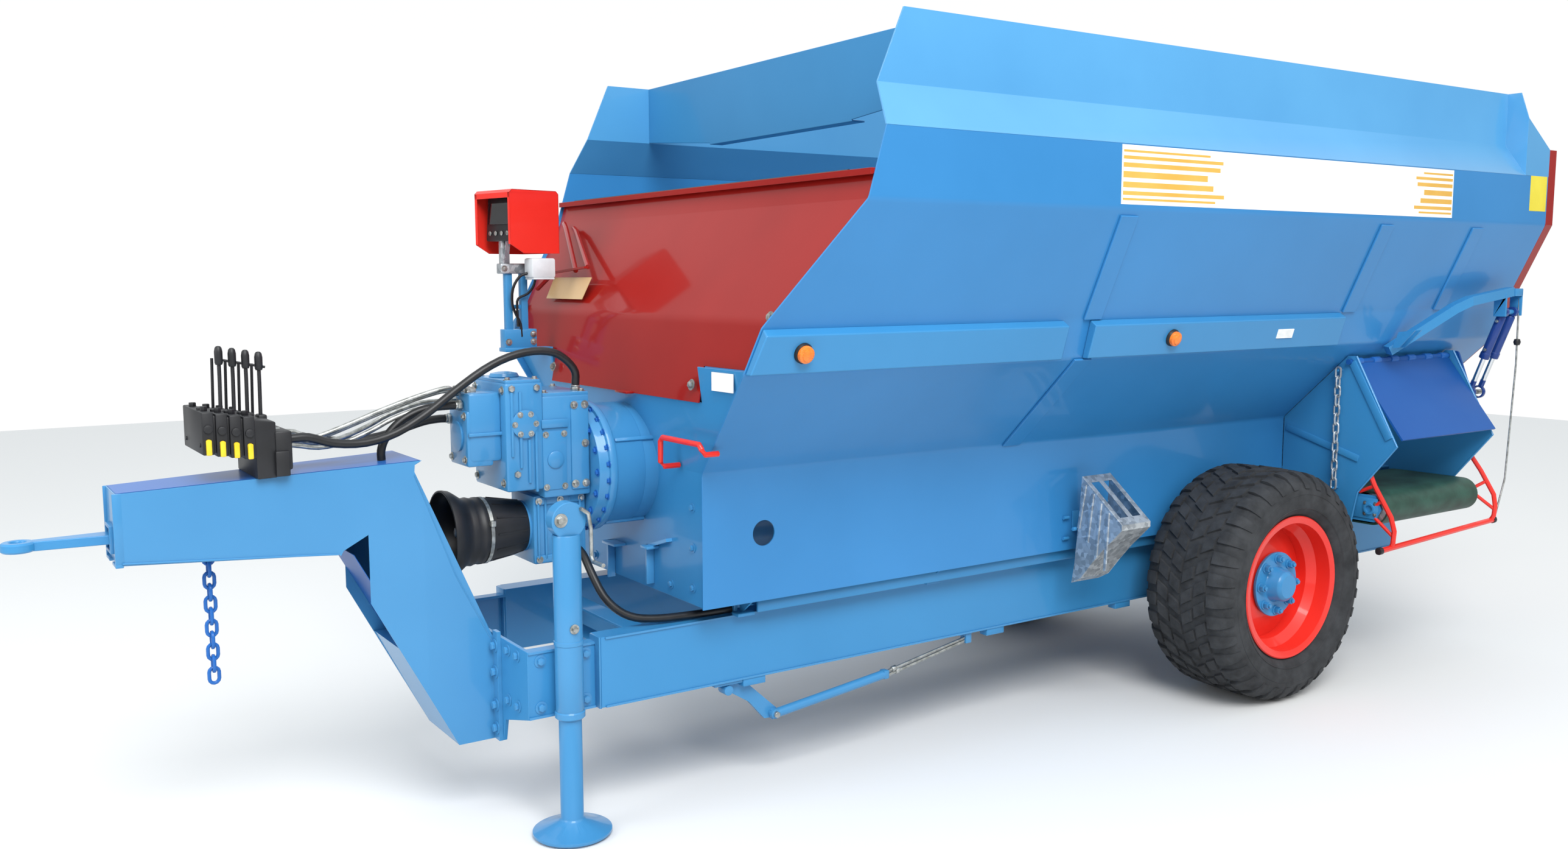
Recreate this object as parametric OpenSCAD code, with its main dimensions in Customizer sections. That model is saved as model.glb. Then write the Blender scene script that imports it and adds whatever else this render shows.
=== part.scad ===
// Horizontal-auger feed mixer wagon, single axle, towed.
// +X is forward, +Y is left, +Z is up, the floor is at z = 0 and the origin is in the middle
// of the overall length and width. Inside the modules x is counted from the axle.

/* [Overall] */
// Axle to the tip of the tow eye
front_reach = 4660; // [4500:10:5000]
// Axle to the rearmost edge of the rear wall
rear_reach = 1700; // [1690:10:1800]

/* [Wheels] */
// Outer diameter of a tyre
tyre_d = 1000; // [960:10:1060]
// Width of a tyre
tyre_w = 440; // [400:10:450]
// Diameter over the rim's flanges
rim_d = 616; // [590:2:640]
// Thickness of the tyre's wall
tyre_t = 28; // [20:1:40]
// Distance between the wheels' middle planes
track_w = 1560; // [1550:10:1640]
// Side of the square axle beam
axle_s = 90; // [80:5:110]
// Radius of the stub that a hub turns on
stub_r = 32; // [25:1:38]
// Radius of the hub
hub_r = 95; // [85:1:105]
// Number of wheel nuts on a hub
nut_count = 8; // [6:1:10]

/* [Frame] */
// Outer half-width of the main beams
beam_y = 450; // [440:5:480]
// Width of a main beam
beam_w = 80; // [60:5:100]
// Height of a main beam
beam_h = 240; // [220:5:245]
// Height of the beams' lower edge above the floor
beam_z = 400; // [390:5:410]
// Front end of the beams, from the axle
beam_front = 3000; // [2980:10:3050]
// Wall thickness of beams and boxes
box_t = 10; // [8:1:14]

/* [Drawbar] */
// Half-width of the drawbar at its front end
draw_front_y = 100; // [90:5:130]
// Half-width of the drawbar at its leg
draw_rear_y = 150; // [140:5:180]
// Front end of the drawbar box, from the axle
draw_front = 4370; // [4300:10:4450]
// Height of the drawbar box at its front end
draw_h = 212; // [180:2:240]
// Height of the middle of the tow eye
eye_z = 1060; // [1040:5:1090]
// Hole radius of the tow eye
eye_r = 20; // [18:1:26]
// Outer radius of the tow eye
eye_outer_r = 46; // [42:1:56]
// Thickness of the tow eye
eye_t = 32; // [28:1:40]

/* [Jack] */
// Sideways place of the jack
jack_y = 460; // [458:1:480]
// Place of the jack along the wagon, from the axle
jack_x = 3120; // [3100:5:3150]
// Radius of the jack's outer tube
jack_r = 46; // [40:1:50]
// Radius of the jack's foot
jack_foot_r = 130; // [110:5:150]
// Height of the top of the jack
jack_top = 1060; // [1040:10:1080]

/* [Tub] */
// Thickness of the tub's sheets
sheet_t = 6; // [4:1:8]
// Lower edge of the skirt
skirt_z = 700; // [690:5:710]
// Height of the skirt
skirt_h = 465; // [455:5:480]
// Height of the lower flare
flare_h = 358; // [345:1:370]
// Height of the side rail
rail_h = 143; // [130:1:160]
// Height of the upper flare
upper_h = 392; // [370:2:420]
// Height of the belt
belt_h = 223; // [200:1:240]
// Height of the shoulder
shoulder_h = 142; // [130:1:160]
// Height of the upright extension
extension_h = 236; // [200:2:300]
// Gap between the trough's round sheet and the skirt
skirt_gap = 104; // [95:1:115]
// How far the lower flare leans out
flare_w = 372; // [360:1:390]
// How far the rail leans out
rail_lean = 37; // [30:1:45]
// How far the upper flare leans out
upper_w = 176; // [160:1:190]
// How far the shoulder leans in
shoulder_w = 100; // [80:1:110]
// Front face of the trough, from the axle
trough_front = 2660; // [2640:5:2680]
// Rear end of the tub, from the axle
tub_rear = 1635; // [1620:5:1650]
// Rear end of the upper extension, from the axle
extension_rear = 1423; // [1400:1:1450]

/* [Auger] */
// Height of the auger's axis
auger_z = 1150; // [1145:5:1160]
// Inner radius of the trough
trough_r = 430; // [425:1:435]
// Gap between the flight and the trough
flight_gap = 28; // [20:1:40]
// Radius of the auger's tube
auger_tube_r = 84; // [70:1:100]
// Pitch of the auger
auger_pitch = 640; // [560:10:720]
// Thickness of the flight
flight_t = 12; // [10:1:16]

/* [Gearbox] */
// Radius of the round gear housing
housing_r = 222; // [215:1:230]
// Length of the round gear housing
housing_l = 230; // [210:5:240]
// Height of the input shaft
pto_z = 955; // [945:5:965]
// Radius of the input shaft
pto_r = 17.5; // [15:0.5:22]

/* [Discharge] */
// Front plate of the discharge, behind the axle
outlet_front = 510; // [505:1:530]
// Rear plate of the discharge, behind the axle
outlet_rear = 1310; // [1280:5:1330]
// Height of the flap's hinge
flap_hinge_z = 1440; // [1435:1:1450]
// Distance of the flap's hinge from the wall, sideways
hinge_out = 44; // [40:1:50]
// Length of the flap
flap_l = 415; // [380:5:430]
// Lean of the flap from the horizontal
flap_lean = 53; // [50:1:56]
// Length of the lever that the cylinder works on
lever_l = 190; // [180:1:200]
// Radius of the conveyor's rollers
roller_r = 75; // [65:1:80]

/* [Hidden] */
$fn = 48;

// Place of the axle when the origin is in the middle of the overall length
axle_x = (rear_reach - front_reach) / 2;
axle_z = tyre_d / 2;
LEFT = 1;
RIGHT = -1;
run = 0.3;

paint_blue = "#4A90CE";
paint_red = "#C4171F";

// Heights of the creases and half-widths of the tub, outside
crease_z = skirt_z + skirt_h;
rail_low_z = crease_z + flare_h;
rail_top_z = rail_low_z + rail_h;
belt_low_z = rail_top_z + upper_h;
belt_top_z = belt_low_z + belt_h;
shoulder_z = belt_top_z + shoulder_h;
top_z = shoulder_z + extension_h;
skirt_y = trough_r + sheet_t + skirt_gap;
waist_y = skirt_y + flare_w;
rail_y = waist_y + rail_lean;
half_w = rail_y + upper_w;
top_y = half_w - shoulder_w;

// Outer line of a side wall from below upwards, as [y, z]
wall_outer = [
    [skirt_y, skirt_z],
    [skirt_y, crease_z],
    [waist_y, rail_low_z],
    [rail_y, rail_top_z],
    [half_w, belt_low_z],
    [half_w, belt_top_z],
    [top_y, shoulder_z],
    [top_y, top_z]
];
wall_inner = inset(wall_outer, sheet_t);
function wall_y(z) = lookup(z, [for (p = wall_outer) [p[1], p[0]]]);
SKIRT = 0;
BELT_TOP = 5;
TOP = 7;

// Front edge of the side walls from below upwards, as [x, z]
front_edge = [
    [trough_front, skirt_z],
    [trough_front, crease_z],
    [trough_front + 68, rail_low_z],
    [trough_front + 25, rail_top_z],
    [trough_front - 248, belt_low_z],
    [trough_front - 315, belt_top_z],
    [trough_front - 356, shoulder_z],
    [trough_front - 459, top_z]
];

beam_top = beam_z + beam_h;
wheel_y = track_w / 2;
flight_r = trough_r - flight_gap;
auger_front = trough_front - 60;
auger_rear = -tub_rear + 100;

// Hinge of the flap and pins of its cylinder, as [y, z] in the cylinder's own plane
cylinder_x = -outlet_rear - 85;
flap_hinge_y = wall_y(flap_hinge_z) + hinge_out;
flap_hinge = [flap_hinge_y, flap_hinge_z];
lever_pin = flap_hinge + lever_l * [cos(flap_lean + 17), -sin(flap_lean + 17)];
arm_pin = flap_hinge + [205, 210];
pin_r = 12;

// Clip on the left beam that the lower hose ends in
hose_clip_x = 2480;

// Routes of the hoses as [x, y, z], x from the axle
hose_r = 14;
HOSE_UPPER = [
    [3880, 100, 1330], [3820, 100, 1330], [3740, 98, 1305], [3640, 96, 1300], [3540, 94, 1325],
    [3440, 92, 1380], [3340, 90, 1450], [3240, 90, 1515], [3150, 90, 1555], [3060, 90, 1572],
    [2985, 90, 1565], [2935, 90, 1535], [2905, 90, 1495], [2905, 90, 1450]
];
HOSE_MIDDLE = [
    [3880, -60, 1320], [3820, -60, 1320], [3740, -60, 1300], [3640, -58, 1290], [3550, -55, 1300],
    [3480, -52, 1318], [3405, -50, 1339], [3355, -50, 1345], [3329, -50, 1345]
];
HOSE_RISER = [
    [3580, 50, 1234], [3580, 50, 1264], [3568, 50, 1298], [3540, 50, 1333], [3500, 50, 1364],
    [3450, 50, 1386], [3400, 50, 1396], [3355, 50, 1398], [3329, 50, 1398]
];
HOSE_LOWER = [
    [2960, 120, 900], [2960, 170, 898], [2960, 240, 880], [2955, 300, 820], [2935, 345, 750],
    [2895, 375, 700], [2840, 395, 672], [2760, 410, 661], [2660, 420, 658], [2560, 425, 657],
    [2480, 425, 657]
];

// Unit vector along v
function unit(v) = v / norm(v);

// Line of points moved to its left by t, with mitred corners
function left_of(a, b) = let (d = unit(b - a)) [-d[1], d[0]];
function inset(line, t) = [
    for (i = [0 : len(line) - 1])
        let (
            last = len(line) - 1,
            before = left_of(line[max(i, 1) - 1], line[max(i, 1)]),
            after = left_of(line[min(i, last - 1)], line[min(i, last - 1) + 1]),
            m = before + after
        )
        line[i] + m * 2 * t / (m * m)
];
// Outline of a sheet between two lines, from point a to point b
function band(outer, inner, a, b) = concat(
    [for (i = [a : b]) outer[i]],
    [for (i = [b : -1 : a]) inner[i]]
);
function mirrored(line) = [for (i = [len(line) - 1 : -1 : 0]) [-line[i][0], line[i][1]]];
function arc(centre, r, from, to, steps) = [
    for (i = [0 : steps])
        let (a = from + (to - from) * i / steps)
        centre + r * [cos(a), sin(a)]
];

// A 2D outline in [y, z] drawn out along x, and one in [x, z] drawn out along y
module along_x(from, to) {
    translate([from, 0, 0]) rotate([90, 0, 90]) linear_extrude(to - from) children();
}
module along_y(from, to) {
    translate([0, to, 0]) rotate([90, 0, 0]) linear_extrude(to - from) children();
}
module block(low, high) {
    translate(low) cube(high - low);
}
module rod_y(x, z, r, from, to) {
    translate([x, to, z]) rotate([90, 0, 0]) cylinder(r = r, h = to - from);
}
module rod_x(y, z, r, from, to) {
    translate([from, y, z]) rotate([0, 90, 0]) cylinder(r = r, h = to - from);
}
module rod_z(x, y, r, from, to) {
    translate([x, y, from]) cylinder(r = r, h = to - from);
}
module from_axle() {
    translate([axle_x, 0, 0]) children();
}
module on_side(side) {
    mirror([0, side < 0 ? 1 : 0, 0]) children();
}

// Tube swept along points: "across" is a direction that the route never follows
function tangent(path, i, closed) =
    let (n = len(path))
    closed
        ? unit(path[(i + 1) % n] - path[(i + n - 1) % n])
        : unit(path[min(i + 1, n - 1)] - path[max(i - 1, 0)]);
function ring(centre, t, across, r, sides) =
    let (u = unit(cross(across, t)), v = cross(t, u))
    [for (k = [0 : sides - 1]) centre + r * (cos(360 * k / sides) * u + sin(360 * k / sides) * v)];
module tube(path, r, across, sides = 8, closed = false) {
    n = len(path);
    points = [for (i = [0 : n - 1]) each ring(path[i], tangent(path, i, closed), across, r, sides)];
    spans = closed ? n : n - 1;
    walls = [
        for (i = [0 : spans - 1])
            for (k = [0 : sides - 1])
                let (
                    a = i * sides + k,
                    b = i * sides + (k + 1) % sides,
                    c = ((i + 1) % n) * sides + (k + 1) % sides,
                    d = ((i + 1) % n) * sides + k
                )
                each [[a, c, b], [a, d, c]]
    ];
    ends = closed ? [] : [
        [for (k = [0 : sides - 1]) k],
        [for (k = [sides - 1 : -1 : 0]) (n - 1) * sides + k]
    ];
    polyhedron(points, concat(walls, ends));
}

// Chain that hangs straight down from a point, each link a quarter turn from the last
module chain(top, link_l, wire_r, count, first_turn = 0) {
    step = link_l - 4 * wire_r;
    for (i = [0 : count - 1]) {
        turn = first_turn + (i % 2 == 0 ? 0 : 90);
        bend = wire_r * 2.5;
        half = link_l / 2 - wire_r - bend;
        outline = concat(
            arc([0, half], bend, 0, 180, 3),
            arc([0, -half], bend, 180, 360, 3)
        );
        translate(top + [0, 0, -link_l / 2 - i * (step - run)]) rotate([0, 0, turn])
            tube([for (p = outline) [p[0], 0, p[1]]], wire_r, [0, 1, 0], 6, true);
    }
}

// Head plate in front of the beams, with the drawbar's leg bolted to it
head_y = beam_y - 38;
head_front = beam_front + 230;
leg_rear = head_front + 14;
leg_foot = beam_z - 138;

// Two main beams, their cross members, the saddles under the trough and the head in front
module beam(side) {
    on_side(side) difference() {
        along_x(-tub_rear, beam_front) difference() {
            translate([beam_y - beam_w, beam_z]) square([beam_w, beam_h]);
            translate([beam_y - beam_w + box_t, beam_z + box_t])
                square([beam_w - 2 * box_t, beam_h - 2 * box_t]);
        }
        block(
            [-axle_s / 2 - run, 0, beam_z - 1],
            [axle_s / 2 + run, beam_y + 1, axle_z + axle_s / 2 + run]
        );
    }
}
module frame() color(paint_blue) from_axle() {
    inner_y = beam_y - beam_w;
    head_low = beam_z - 6;
    head_top = beam_top - 20;
    for (side = [LEFT, RIGHT]) {
        beam(side);
        on_side(side) {
            block([beam_front - box_t, inner_y, beam_z], [beam_front, beam_y, beam_top]);
            along_x(beam_front, head_front) difference() {
                translate([inner_y, head_low]) square([head_y - inner_y, head_top - head_low]);
                translate([inner_y - 1, head_low + box_t])
                    square([head_y - inner_y - box_t + 1, head_top - head_low - 2 * box_t]);
            }
        }
    }
    block([hose_clip_x - 14, beam_y - 50, beam_top], [hose_clip_x, beam_y, beam_top + 50]);
    for (x = [-1500, -700, 700, 1900, 2700])
        along_x(x, x + 80) difference() {
            translate([-inner_y, beam_z + 60]) square([2 * inner_y, 120]);
            translate([-inner_y, beam_z + 60 + box_t]) square([2 * inner_y, 120 - 2 * box_t]);
        }
    for (x = [-1440, -300, 900, 2300])
        along_x(x, x + 14) difference() {
            translate([-inner_y - 40, beam_top]) square([2 * inner_y + 80, 170]);
            translate([0, auger_z]) circle(trough_r + sheet_t + run, $fn = 96);
        }
    along_x(head_front, leg_rear) polygon([
        [-head_y, head_low], [-210, beam_z - 60], [-190, leg_foot], [190, leg_foot], [210, beam_z - 60],
        [head_y, head_low], [head_y, head_top], [-head_y, head_top]
    ]);
}

// Gooseneck: box at the front, leg down to the frame's head
draw_top = [[draw_front, eye_z + draw_h / 2 + 36], [3480, 1235]];
draw_low = [[draw_front, eye_z - draw_h / 2 + 36], [3747, 955]];
function on_line(line, x) =
    line[0][1] + (line[1][1] - line[0][1]) * (x - line[0][0]) / (line[1][0] - line[0][0]);
// Side outline from the front of the box round to its top, with the leg's front edge set back
function drawbar_line(back) = [
    draw_top[0],
    draw_low[0],
    draw_low[1] - [back, 0],
    [3384 - back, leg_foot + back / 2],
    [leg_rear, leg_foot + back / 2],
    [leg_rear, 588],
    [3505, 1200],
    [3503, 1222],
    draw_top[1]
];
module drawbar_plan(t) {
    polygon([
        [draw_front + t, draw_front_y - t], [3480, draw_rear_y - t], [leg_rear - t, draw_rear_y - t],
        [leg_rear - t, t - draw_rear_y], [3480, t - draw_rear_y], [draw_front + t, t - draw_front_y]
    ]);
}
module drawbar() color(paint_blue) from_axle() {
    tall = draw_top[1][1];
    web = 40;
    wide = draw_rear_y + 1;
    difference() {
        intersection() {
            along_y(-wide, wide) polygon(drawbar_line(0));
            linear_extrude(tall) drawbar_plan(0);
        }
        // Hollow between the side plates, and the space in front of the set-back web
        intersection() {
            along_y(-wide, wide) union() {
                offset(delta = -box_t) polygon(drawbar_line(web));
                difference() {
                    polygon([
                        [3740, 953], [3384, leg_foot - 1], [3200, leg_foot - 1], [3300, 200], [4000, 200]
                    ]);
                    polygon(drawbar_line(web));
                }
            }
            linear_extrude(tall) drawbar_plan(box_t);
        }
        block([draw_front - box_t - 1, -30, eye_z - 30], [draw_front + 2, 30, eye_z + 30]);
        // The input shaft runs between the leg's side plates
        along_y(-draw_rear_y + box_t, draw_rear_y - box_t) polygon([
            [leg_rear - 60, 620], [leg_rear - 60, 1150], [3405, 1150], [3735, 966], [3750, 940], [3590, 620]
        ]);
    }
    for (side = [LEFT, RIGHT])
        on_side(side)
            block([leg_rear, draw_rear_y, leg_foot], [leg_rear + 14, draw_rear_y + 40, beam_top]);
}

// Ring eye with a flat shank that runs into the drawbar
module tow_eye() color(paint_blue) from_axle() {
    x = front_reach - eye_outer_r;
    shank_front = eye_outer_r * 0.8;
    difference() {
        union() {
            translate([x, 0, eye_z - eye_t / 2]) cylinder(r = eye_outer_r, h = eye_t);
            translate([0, 0, eye_z - eye_t / 2]) linear_extrude(eye_t) polygon([
                [x - 10, shank_front / 2], [draw_front, 38], [draw_front, -38], [x - 10, -shank_front / 2]
            ]);
            block([draw_front - 160, -29, eye_z - 29], [draw_front + 1, 29, eye_z + 29]);
        }
        translate([x, 0, eye_z - eye_t]) cylinder(r = eye_r, h = 2 * eye_t);
    }
}

module safety_chain() color("#2E6FB5") from_axle() {
    x = 4110;
    chain([x, 0, on_line(draw_low, x) - run], 62, 6, 11);
}

// Parking jack beside the left beam: bracket, outer tube with a round head, inner tube and foot
module jack_tube() color(paint_blue) from_axle() {
    low = beam_z - 5;
    difference() {
        rod_z(jack_x, jack_y, jack_r, low, jack_top - 40);
        rod_z(jack_x, jack_y, jack_r - 8, low - 1, jack_top - 60);
    }
    rod_y(jack_x, jack_top - 10, 60, jack_y - 26, jack_y + 26);
    for (z = [beam_z + 30, beam_z + 170])
        block([jack_x - 30, head_y, z], [jack_x + 30, jack_y - jack_r + 5, z + 20]);
}
module jack_foot() color(paint_blue) from_axle() {
    inner_r = jack_r - 8.3;
    rod_z(jack_x, jack_y, inner_r, 20, beam_z + 250);
    translate([jack_x, jack_y, 0]) rotate_extrude() polygon([
        [0, 0], [jack_foot_r - 12, 0], [jack_foot_r, 10], [jack_foot_r, 18],
        [jack_foot_r - 20, 24], [inner_r + 8, 50], [inner_r, 60], [0, 60]
    ]);
}

// Square axle beam with round stubs
module axle() color(paint_blue) from_axle() {
    hub_back = wheel_y + 60;
    beam_end = wheel_y - 130;
    block([-axle_s / 2, -beam_end, axle_z - axle_s / 2], [axle_s / 2, beam_end, axle_z + axle_s / 2]);
    for (side = [LEFT, RIGHT])
        on_side(side) rod_y(0, axle_z, stub_r, beam_end, hub_back + 60);
}

// Wheel: tyre, rim with dished disc, hub with nuts; all turn together
module about_wheel_axis(side) {
    from_axle() on_side(side) translate([0, wheel_y, axle_z]) rotate([-90, 0, 0])
        rotate_extrude($fn = 72) children();
}
rim_r = rim_d / 2;
tyre_seat = rim_r - 22;
module tyre_section() {
    half = tyre_w / 2;
    r = tyre_d / 2;
    seat_y = half - 42;
    outline = concat(
        [[tyre_seat, seat_y], [rim_r + 4, seat_y], [rim_r + 30, half - 10], [rim_r + 80, half]],
        arc([r - 58, half - 58], 58, 80, 10, 4),
        [[r, half - 90]]
    );
    lower = [for (i = [len(outline) - 1 : -1 : 0]) [outline[i][0], -outline[i][1]]];
    inner = [
        [tyre_seat, -seat_y + tyre_t], [rim_r + 60, -half + tyre_t + 6], [r - 60, -half + tyre_t + 14],
        [r - tyre_t - 12, -half + 90], [r - tyre_t - 12, half - 90], [r - 60, half - tyre_t - 14],
        [rim_r + 60, half - tyre_t - 6], [tyre_seat, seat_y - tyre_t]
    ];
    polygon(concat(outline, lower, inner));
}
module tyre(side) color("#26282B") about_wheel_axis(side) tyre_section();
module tyre_left() tyre(LEFT);
module tyre_right() tyre(RIGHT);
module rim(side) color(paint_red) {
    seat = tyre_seat - run;
    seat_y = tyre_w / 2 - 42;
    lip = 12;
    t = 12;
    disc_y = 40;
    about_wheel_axis(side) polygon([
        [rim_r, seat_y + lip], [rim_r, seat_y + run], [seat, seat_y + run], [seat, seat_y - 60],
        [seat - 30, seat_y - 90], [seat - 30, -seat_y + 90], [seat, -seat_y + 60], [seat, -seat_y - run],
        [rim_r, -seat_y - run], [rim_r, -seat_y - lip], [seat - t, -seat_y - lip], [seat - t, -seat_y + 60],
        [seat - 30 - t, -seat_y + 90], [seat - 30 - t, disc_y], [hub_r + run, disc_y + 45],
        [hub_r + run, disc_y + 45 + t], [seat - 30 - t, disc_y + t + 4],
        [seat - 30 - t, seat_y - 90], [seat - t, seat_y - 60], [seat - t, seat_y + lip]
    ]);
}
module rim_left() rim(LEFT);
module rim_right() rim(RIGHT);
module hub(side) color("#3F86C8") {
    back = 42;
    front = 150;
    flange_y = 98;
    about_wheel_axis(side) polygon([
        [stub_r + run, back], [hub_r - 10, back], [hub_r, back + 10], [hub_r, flange_y],
        [hub_r + 45, flange_y], [hub_r + 45, flange_y + 14], [hub_r - 22, flange_y + 14],
        [hub_r - 30, front + 12], [hub_r - 45, front + 24], [0, front + 24], [0, front],
        [stub_r + run, front]
    ]);
    from_axle() on_side(side) for (i = [0 : nut_count - 1])
        translate([0, wheel_y + flange_y + 13, axle_z]) rotate([-90, 360 * i / nut_count, 0])
            translate([hub_r + 18, 0, 0]) cylinder(r = 14, h = 22, $fn = 6);
}
module hub_left() hub(LEFT);
module hub_right() hub(RIGHT);

// Trough: round bottom along the auger with a front and a rear plate
module tub_area(grow) {
    line = grow == 0 ? wall_inner : inset(wall_inner, grow);
    polygon(concat(line, mirrored(line)));
}
// Height that the trough's front plate reaches at its corners
corner_z = rail_low_z + 8;
module trough() color(paint_blue) from_axle() {
    rear = -tub_rear + 20;
    front = trough_front - 20;
    difference() {
        union() {
            along_x(rear, front) {
                difference() {
                    translate([0, auger_z]) circle(trough_r + sheet_t, $fn = 96);
                    translate([0, auger_z]) circle(trough_r, $fn = 96);
                    translate([-trough_r - 50, auger_z]) square([2 * trough_r + 100, trough_r + 50]);
                }
                for (side = [LEFT, RIGHT])
                    translate([side > 0 ? trough_r : -skirt_y + sheet_t + run, auger_z - sheet_t])
                        square([skirt_y - sheet_t - trough_r - run, sheet_t]);
            }
            // Front plate, whose corners reach up to the rails
            intersection() {
                along_y(-half_w, half_w) polygon([
                    [front, skirt_z + run], [front, crease_z], [front + 50, corner_z],
                    [front + 58, corner_z], [front + 8, crease_z], [front + 8, skirt_z + run]
                ]);
                along_x(front - 5, front + 80) tub_area(run);
                along_x(front - 5, front + 80) difference() {
                    translate([-half_w, skirt_z]) square([2 * half_w, corner_z - skirt_z]);
                    translate([-front_wall_half, front_wall_low]) square([2 * front_wall_half, 200]);
                }
            }
            // Rear plate
            intersection() {
                along_x(rear - 8, rear) tub_area(run);
                block([rear - 9, -half_w, skirt_z + run], [rear + 1, half_w, crease_z + 40]);
            }
        }
        rod_x(0, auger_z, auger_tube_r + 8, front - 10, front + 100);
        rod_x(0, auger_z, 40, rear - 20, rear + 20);
        // Outlet on the left
        block([-outlet_rear, 200, 880], [-outlet_front, skirt_y + 20, auger_z + 40]);
    }
}

// Side wall: skirt, flare and belt bent from one sheet
module side_wall(side) color(paint_blue) from_axle() on_side(side) {
    difference() {
        intersection() {
            along_x(-tub_rear, trough_front + 100) polygon(band(wall_outer, wall_inner, SKIRT, BELT_TOP));
            along_y(0, half_w + 10) polygon(concat(
                [for (i = [SKIRT : BELT_TOP]) front_edge[i]],
                [[-tub_rear, belt_top_z], [-tub_rear, skirt_z]]
            ));
        }
        if (side == LEFT) {
            block(
                [-outlet_rear, trough_r - 30, skirt_z - 1],
                [-outlet_front, flap_hinge_y, flap_hinge_z - 20]
            );
            rod_y(trough_front - 247, skirt_z + 240, 45, skirt_y - 20, skirt_y + 20);
        }
    }
}
module side_wall_left() side_wall(LEFT);
module side_wall_right() side_wall(RIGHT);

// Height of the corner panel at its rear edge
wing_z = belt_top_z + 126;

// Shoulder and upright extension on a side wall, with its rear end plate and corner panel
module extension(side) color(paint_blue) from_axle() on_side(side) {
    intersection() {
        along_x(-extension_rear, trough_front) polygon(band(wall_outer, wall_inner, BELT_TOP, TOP));
        along_y(0, half_w + 10) polygon(concat(
            [for (i = [BELT_TOP : TOP]) front_edge[i]],
            [[-extension_rear, top_z], [-extension_rear, belt_top_z]]
        ));
    }
    along_x(-extension_rear - sheet_t, -extension_rear) polygon([
        [top_y - sheet_t, top_z], [top_y - sheet_t, shoulder_z], [half_w - sheet_t, belt_top_z],
        [half_w, belt_top_z], [half_w, top_z - 119], [half_w - 40, top_z]
    ]);
    along_y(half_w - sheet_t, half_w) polygon([
        [-tub_rear, belt_top_z], [-extension_rear - sheet_t, belt_top_z],
        [-extension_rear - sheet_t, top_z - 119], [-tub_rear, wing_z]
    ]);
}
module extension_left() extension(LEFT);
module extension_right() extension(RIGHT);

// Board across the top in front
module cross_wall() color(paint_blue) from_axle() {
    x = trough_front - 660;
    y = top_y - sheet_t - run;
    half = 490;
    low = shoulder_z - 45;
    along_x(x - sheet_t, x) polygon([
        [-y, top_z], [-y, shoulder_z], [-half, low], [half, low], [y, shoulder_z], [y, top_z]
    ]);
    block([x - 60, -half, low - sheet_t], [x, half, low]);
}

// Front wall, bent three times, set just behind the side walls' front edges
front_wall_low = rail_low_z - 111;
front_wall_half = 580;
module front_wall() color(paint_red) from_axle() {
    top = belt_low_z + 92;
    line = [
        [trough_front + 35, front_wall_low], [trough_front - 20, rail_top_z + 34],
        [trough_front - 262, belt_low_z], [trough_front - 290, top]
    ];
    lip = [trough_front - 265, top];
    behind = trough_front - 400;
    ahead = trough_front + 200;
    intersection() {
        along_y(-half_w, half_w) {
            polygon(band(line, inset(line, sheet_t), 0, len(line) - 1));
            polygon([
                lip, line[3] - [sheet_t, 0], line[3] - [sheet_t, sheet_t],
                lip - [0, 20], lip + [sheet_t, -20], lip + [sheet_t, 0]
            ]);
        }
        along_x(behind, ahead) tub_area(run);
        union() {
            block([behind, -half_w, corner_z + 1], [ahead, half_w, top + 50]);
            block([behind, 1 - front_wall_half, front_wall_low], [ahead, front_wall_half - 1, top + 50]);
        }
    }
}

// Rear wall with an upright stiffener down each side
module rear_wall() color(paint_red) from_axle() {
    outline = concat([for (i = [1 : BELT_TOP]) wall_outer[i]], [[half_w, wing_z]]);
    edge = inset(outline, 45);
    rear_t = 8;
    along_x(-tub_rear - rear_t, -tub_rear) polygon(concat(outline, mirrored(outline)));
    for (side = [LEFT, RIGHT])
        on_side(side) along_x(-rear_reach, -tub_rear - rear_t)
            polygon(band(outline, edge, 1, len(outline) - 1));
}

// Side rail in two lengths, with the ribs above and below it
rib_places = [1250, -340, -1050];
rail_depth = 32;
rail_section = [
    wall_outer[2], wall_outer[2] + [rail_depth, 0], wall_outer[3] + [rail_depth, -22], wall_outer[3]
];
module rail(side) color("#5BA3DC") from_axle() on_side(side) {
    spans = [[1390, trough_front + 60], [-290, 1255]];
    for (span = spans)
        intersection() {
            along_x(span[0], span[1]) polygon(rail_section);
            along_y(0, half_w + 10) polygon(concat(
                [for (i = [1 : 4]) front_edge[i] - [4, 0]],
                [[-tub_rear, belt_low_z], [-tub_rear, crease_z]]
            ));
        }
    rib_t = 10;
    flare = unit(wall_outer[4] - wall_outer[3]);
    upper = [wall_outer[3] + flare * 2, wall_outer[4] - flare * 25];
    lower = [wall_outer[1], wall_outer[2]];
    for (x = rib_places)
        along_x(x - 45, x + 45) polygon(band(upper, inset(upper, -rib_t), 0, 1));
    along_x(rib_places[0] - 45, rib_places[0] + 45) polygon(band(lower, inset(lower, -rib_t), 0, 1));
}
module rail_left() rail(LEFT);
module rail_right() rail(RIGHT);

// Outer face of the trough's front plate from below upwards, as [x, z]
front_face = [
    [trough_front - 12, skirt_z], [trough_front - 12, crease_z], [trough_front + 38, corner_z]
];

// Round gear housing on the trough's front plate, with its bolted ring
module gear_housing() color(paint_blue) from_axle() {
    back = trough_front - 12;
    difference() {
        union() {
            rod_x(0, auger_z, housing_r, back - 10, back + housing_l, $fn = 72);
            rod_x(0, auger_z, housing_r + 14, back + housing_l - 60, back + housing_l - 36);
        }
        rod_x(0, auger_z, 92, back - 11, back + housing_l - 80);
        along_y(-housing_r - 20, housing_r + 20) polygon(concat(
            [[back - 40, skirt_z], [back - 40, rail_low_z]],
            [for (i = [2 : -1 : 0]) front_face[i]]
        ));
    }
}
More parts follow.
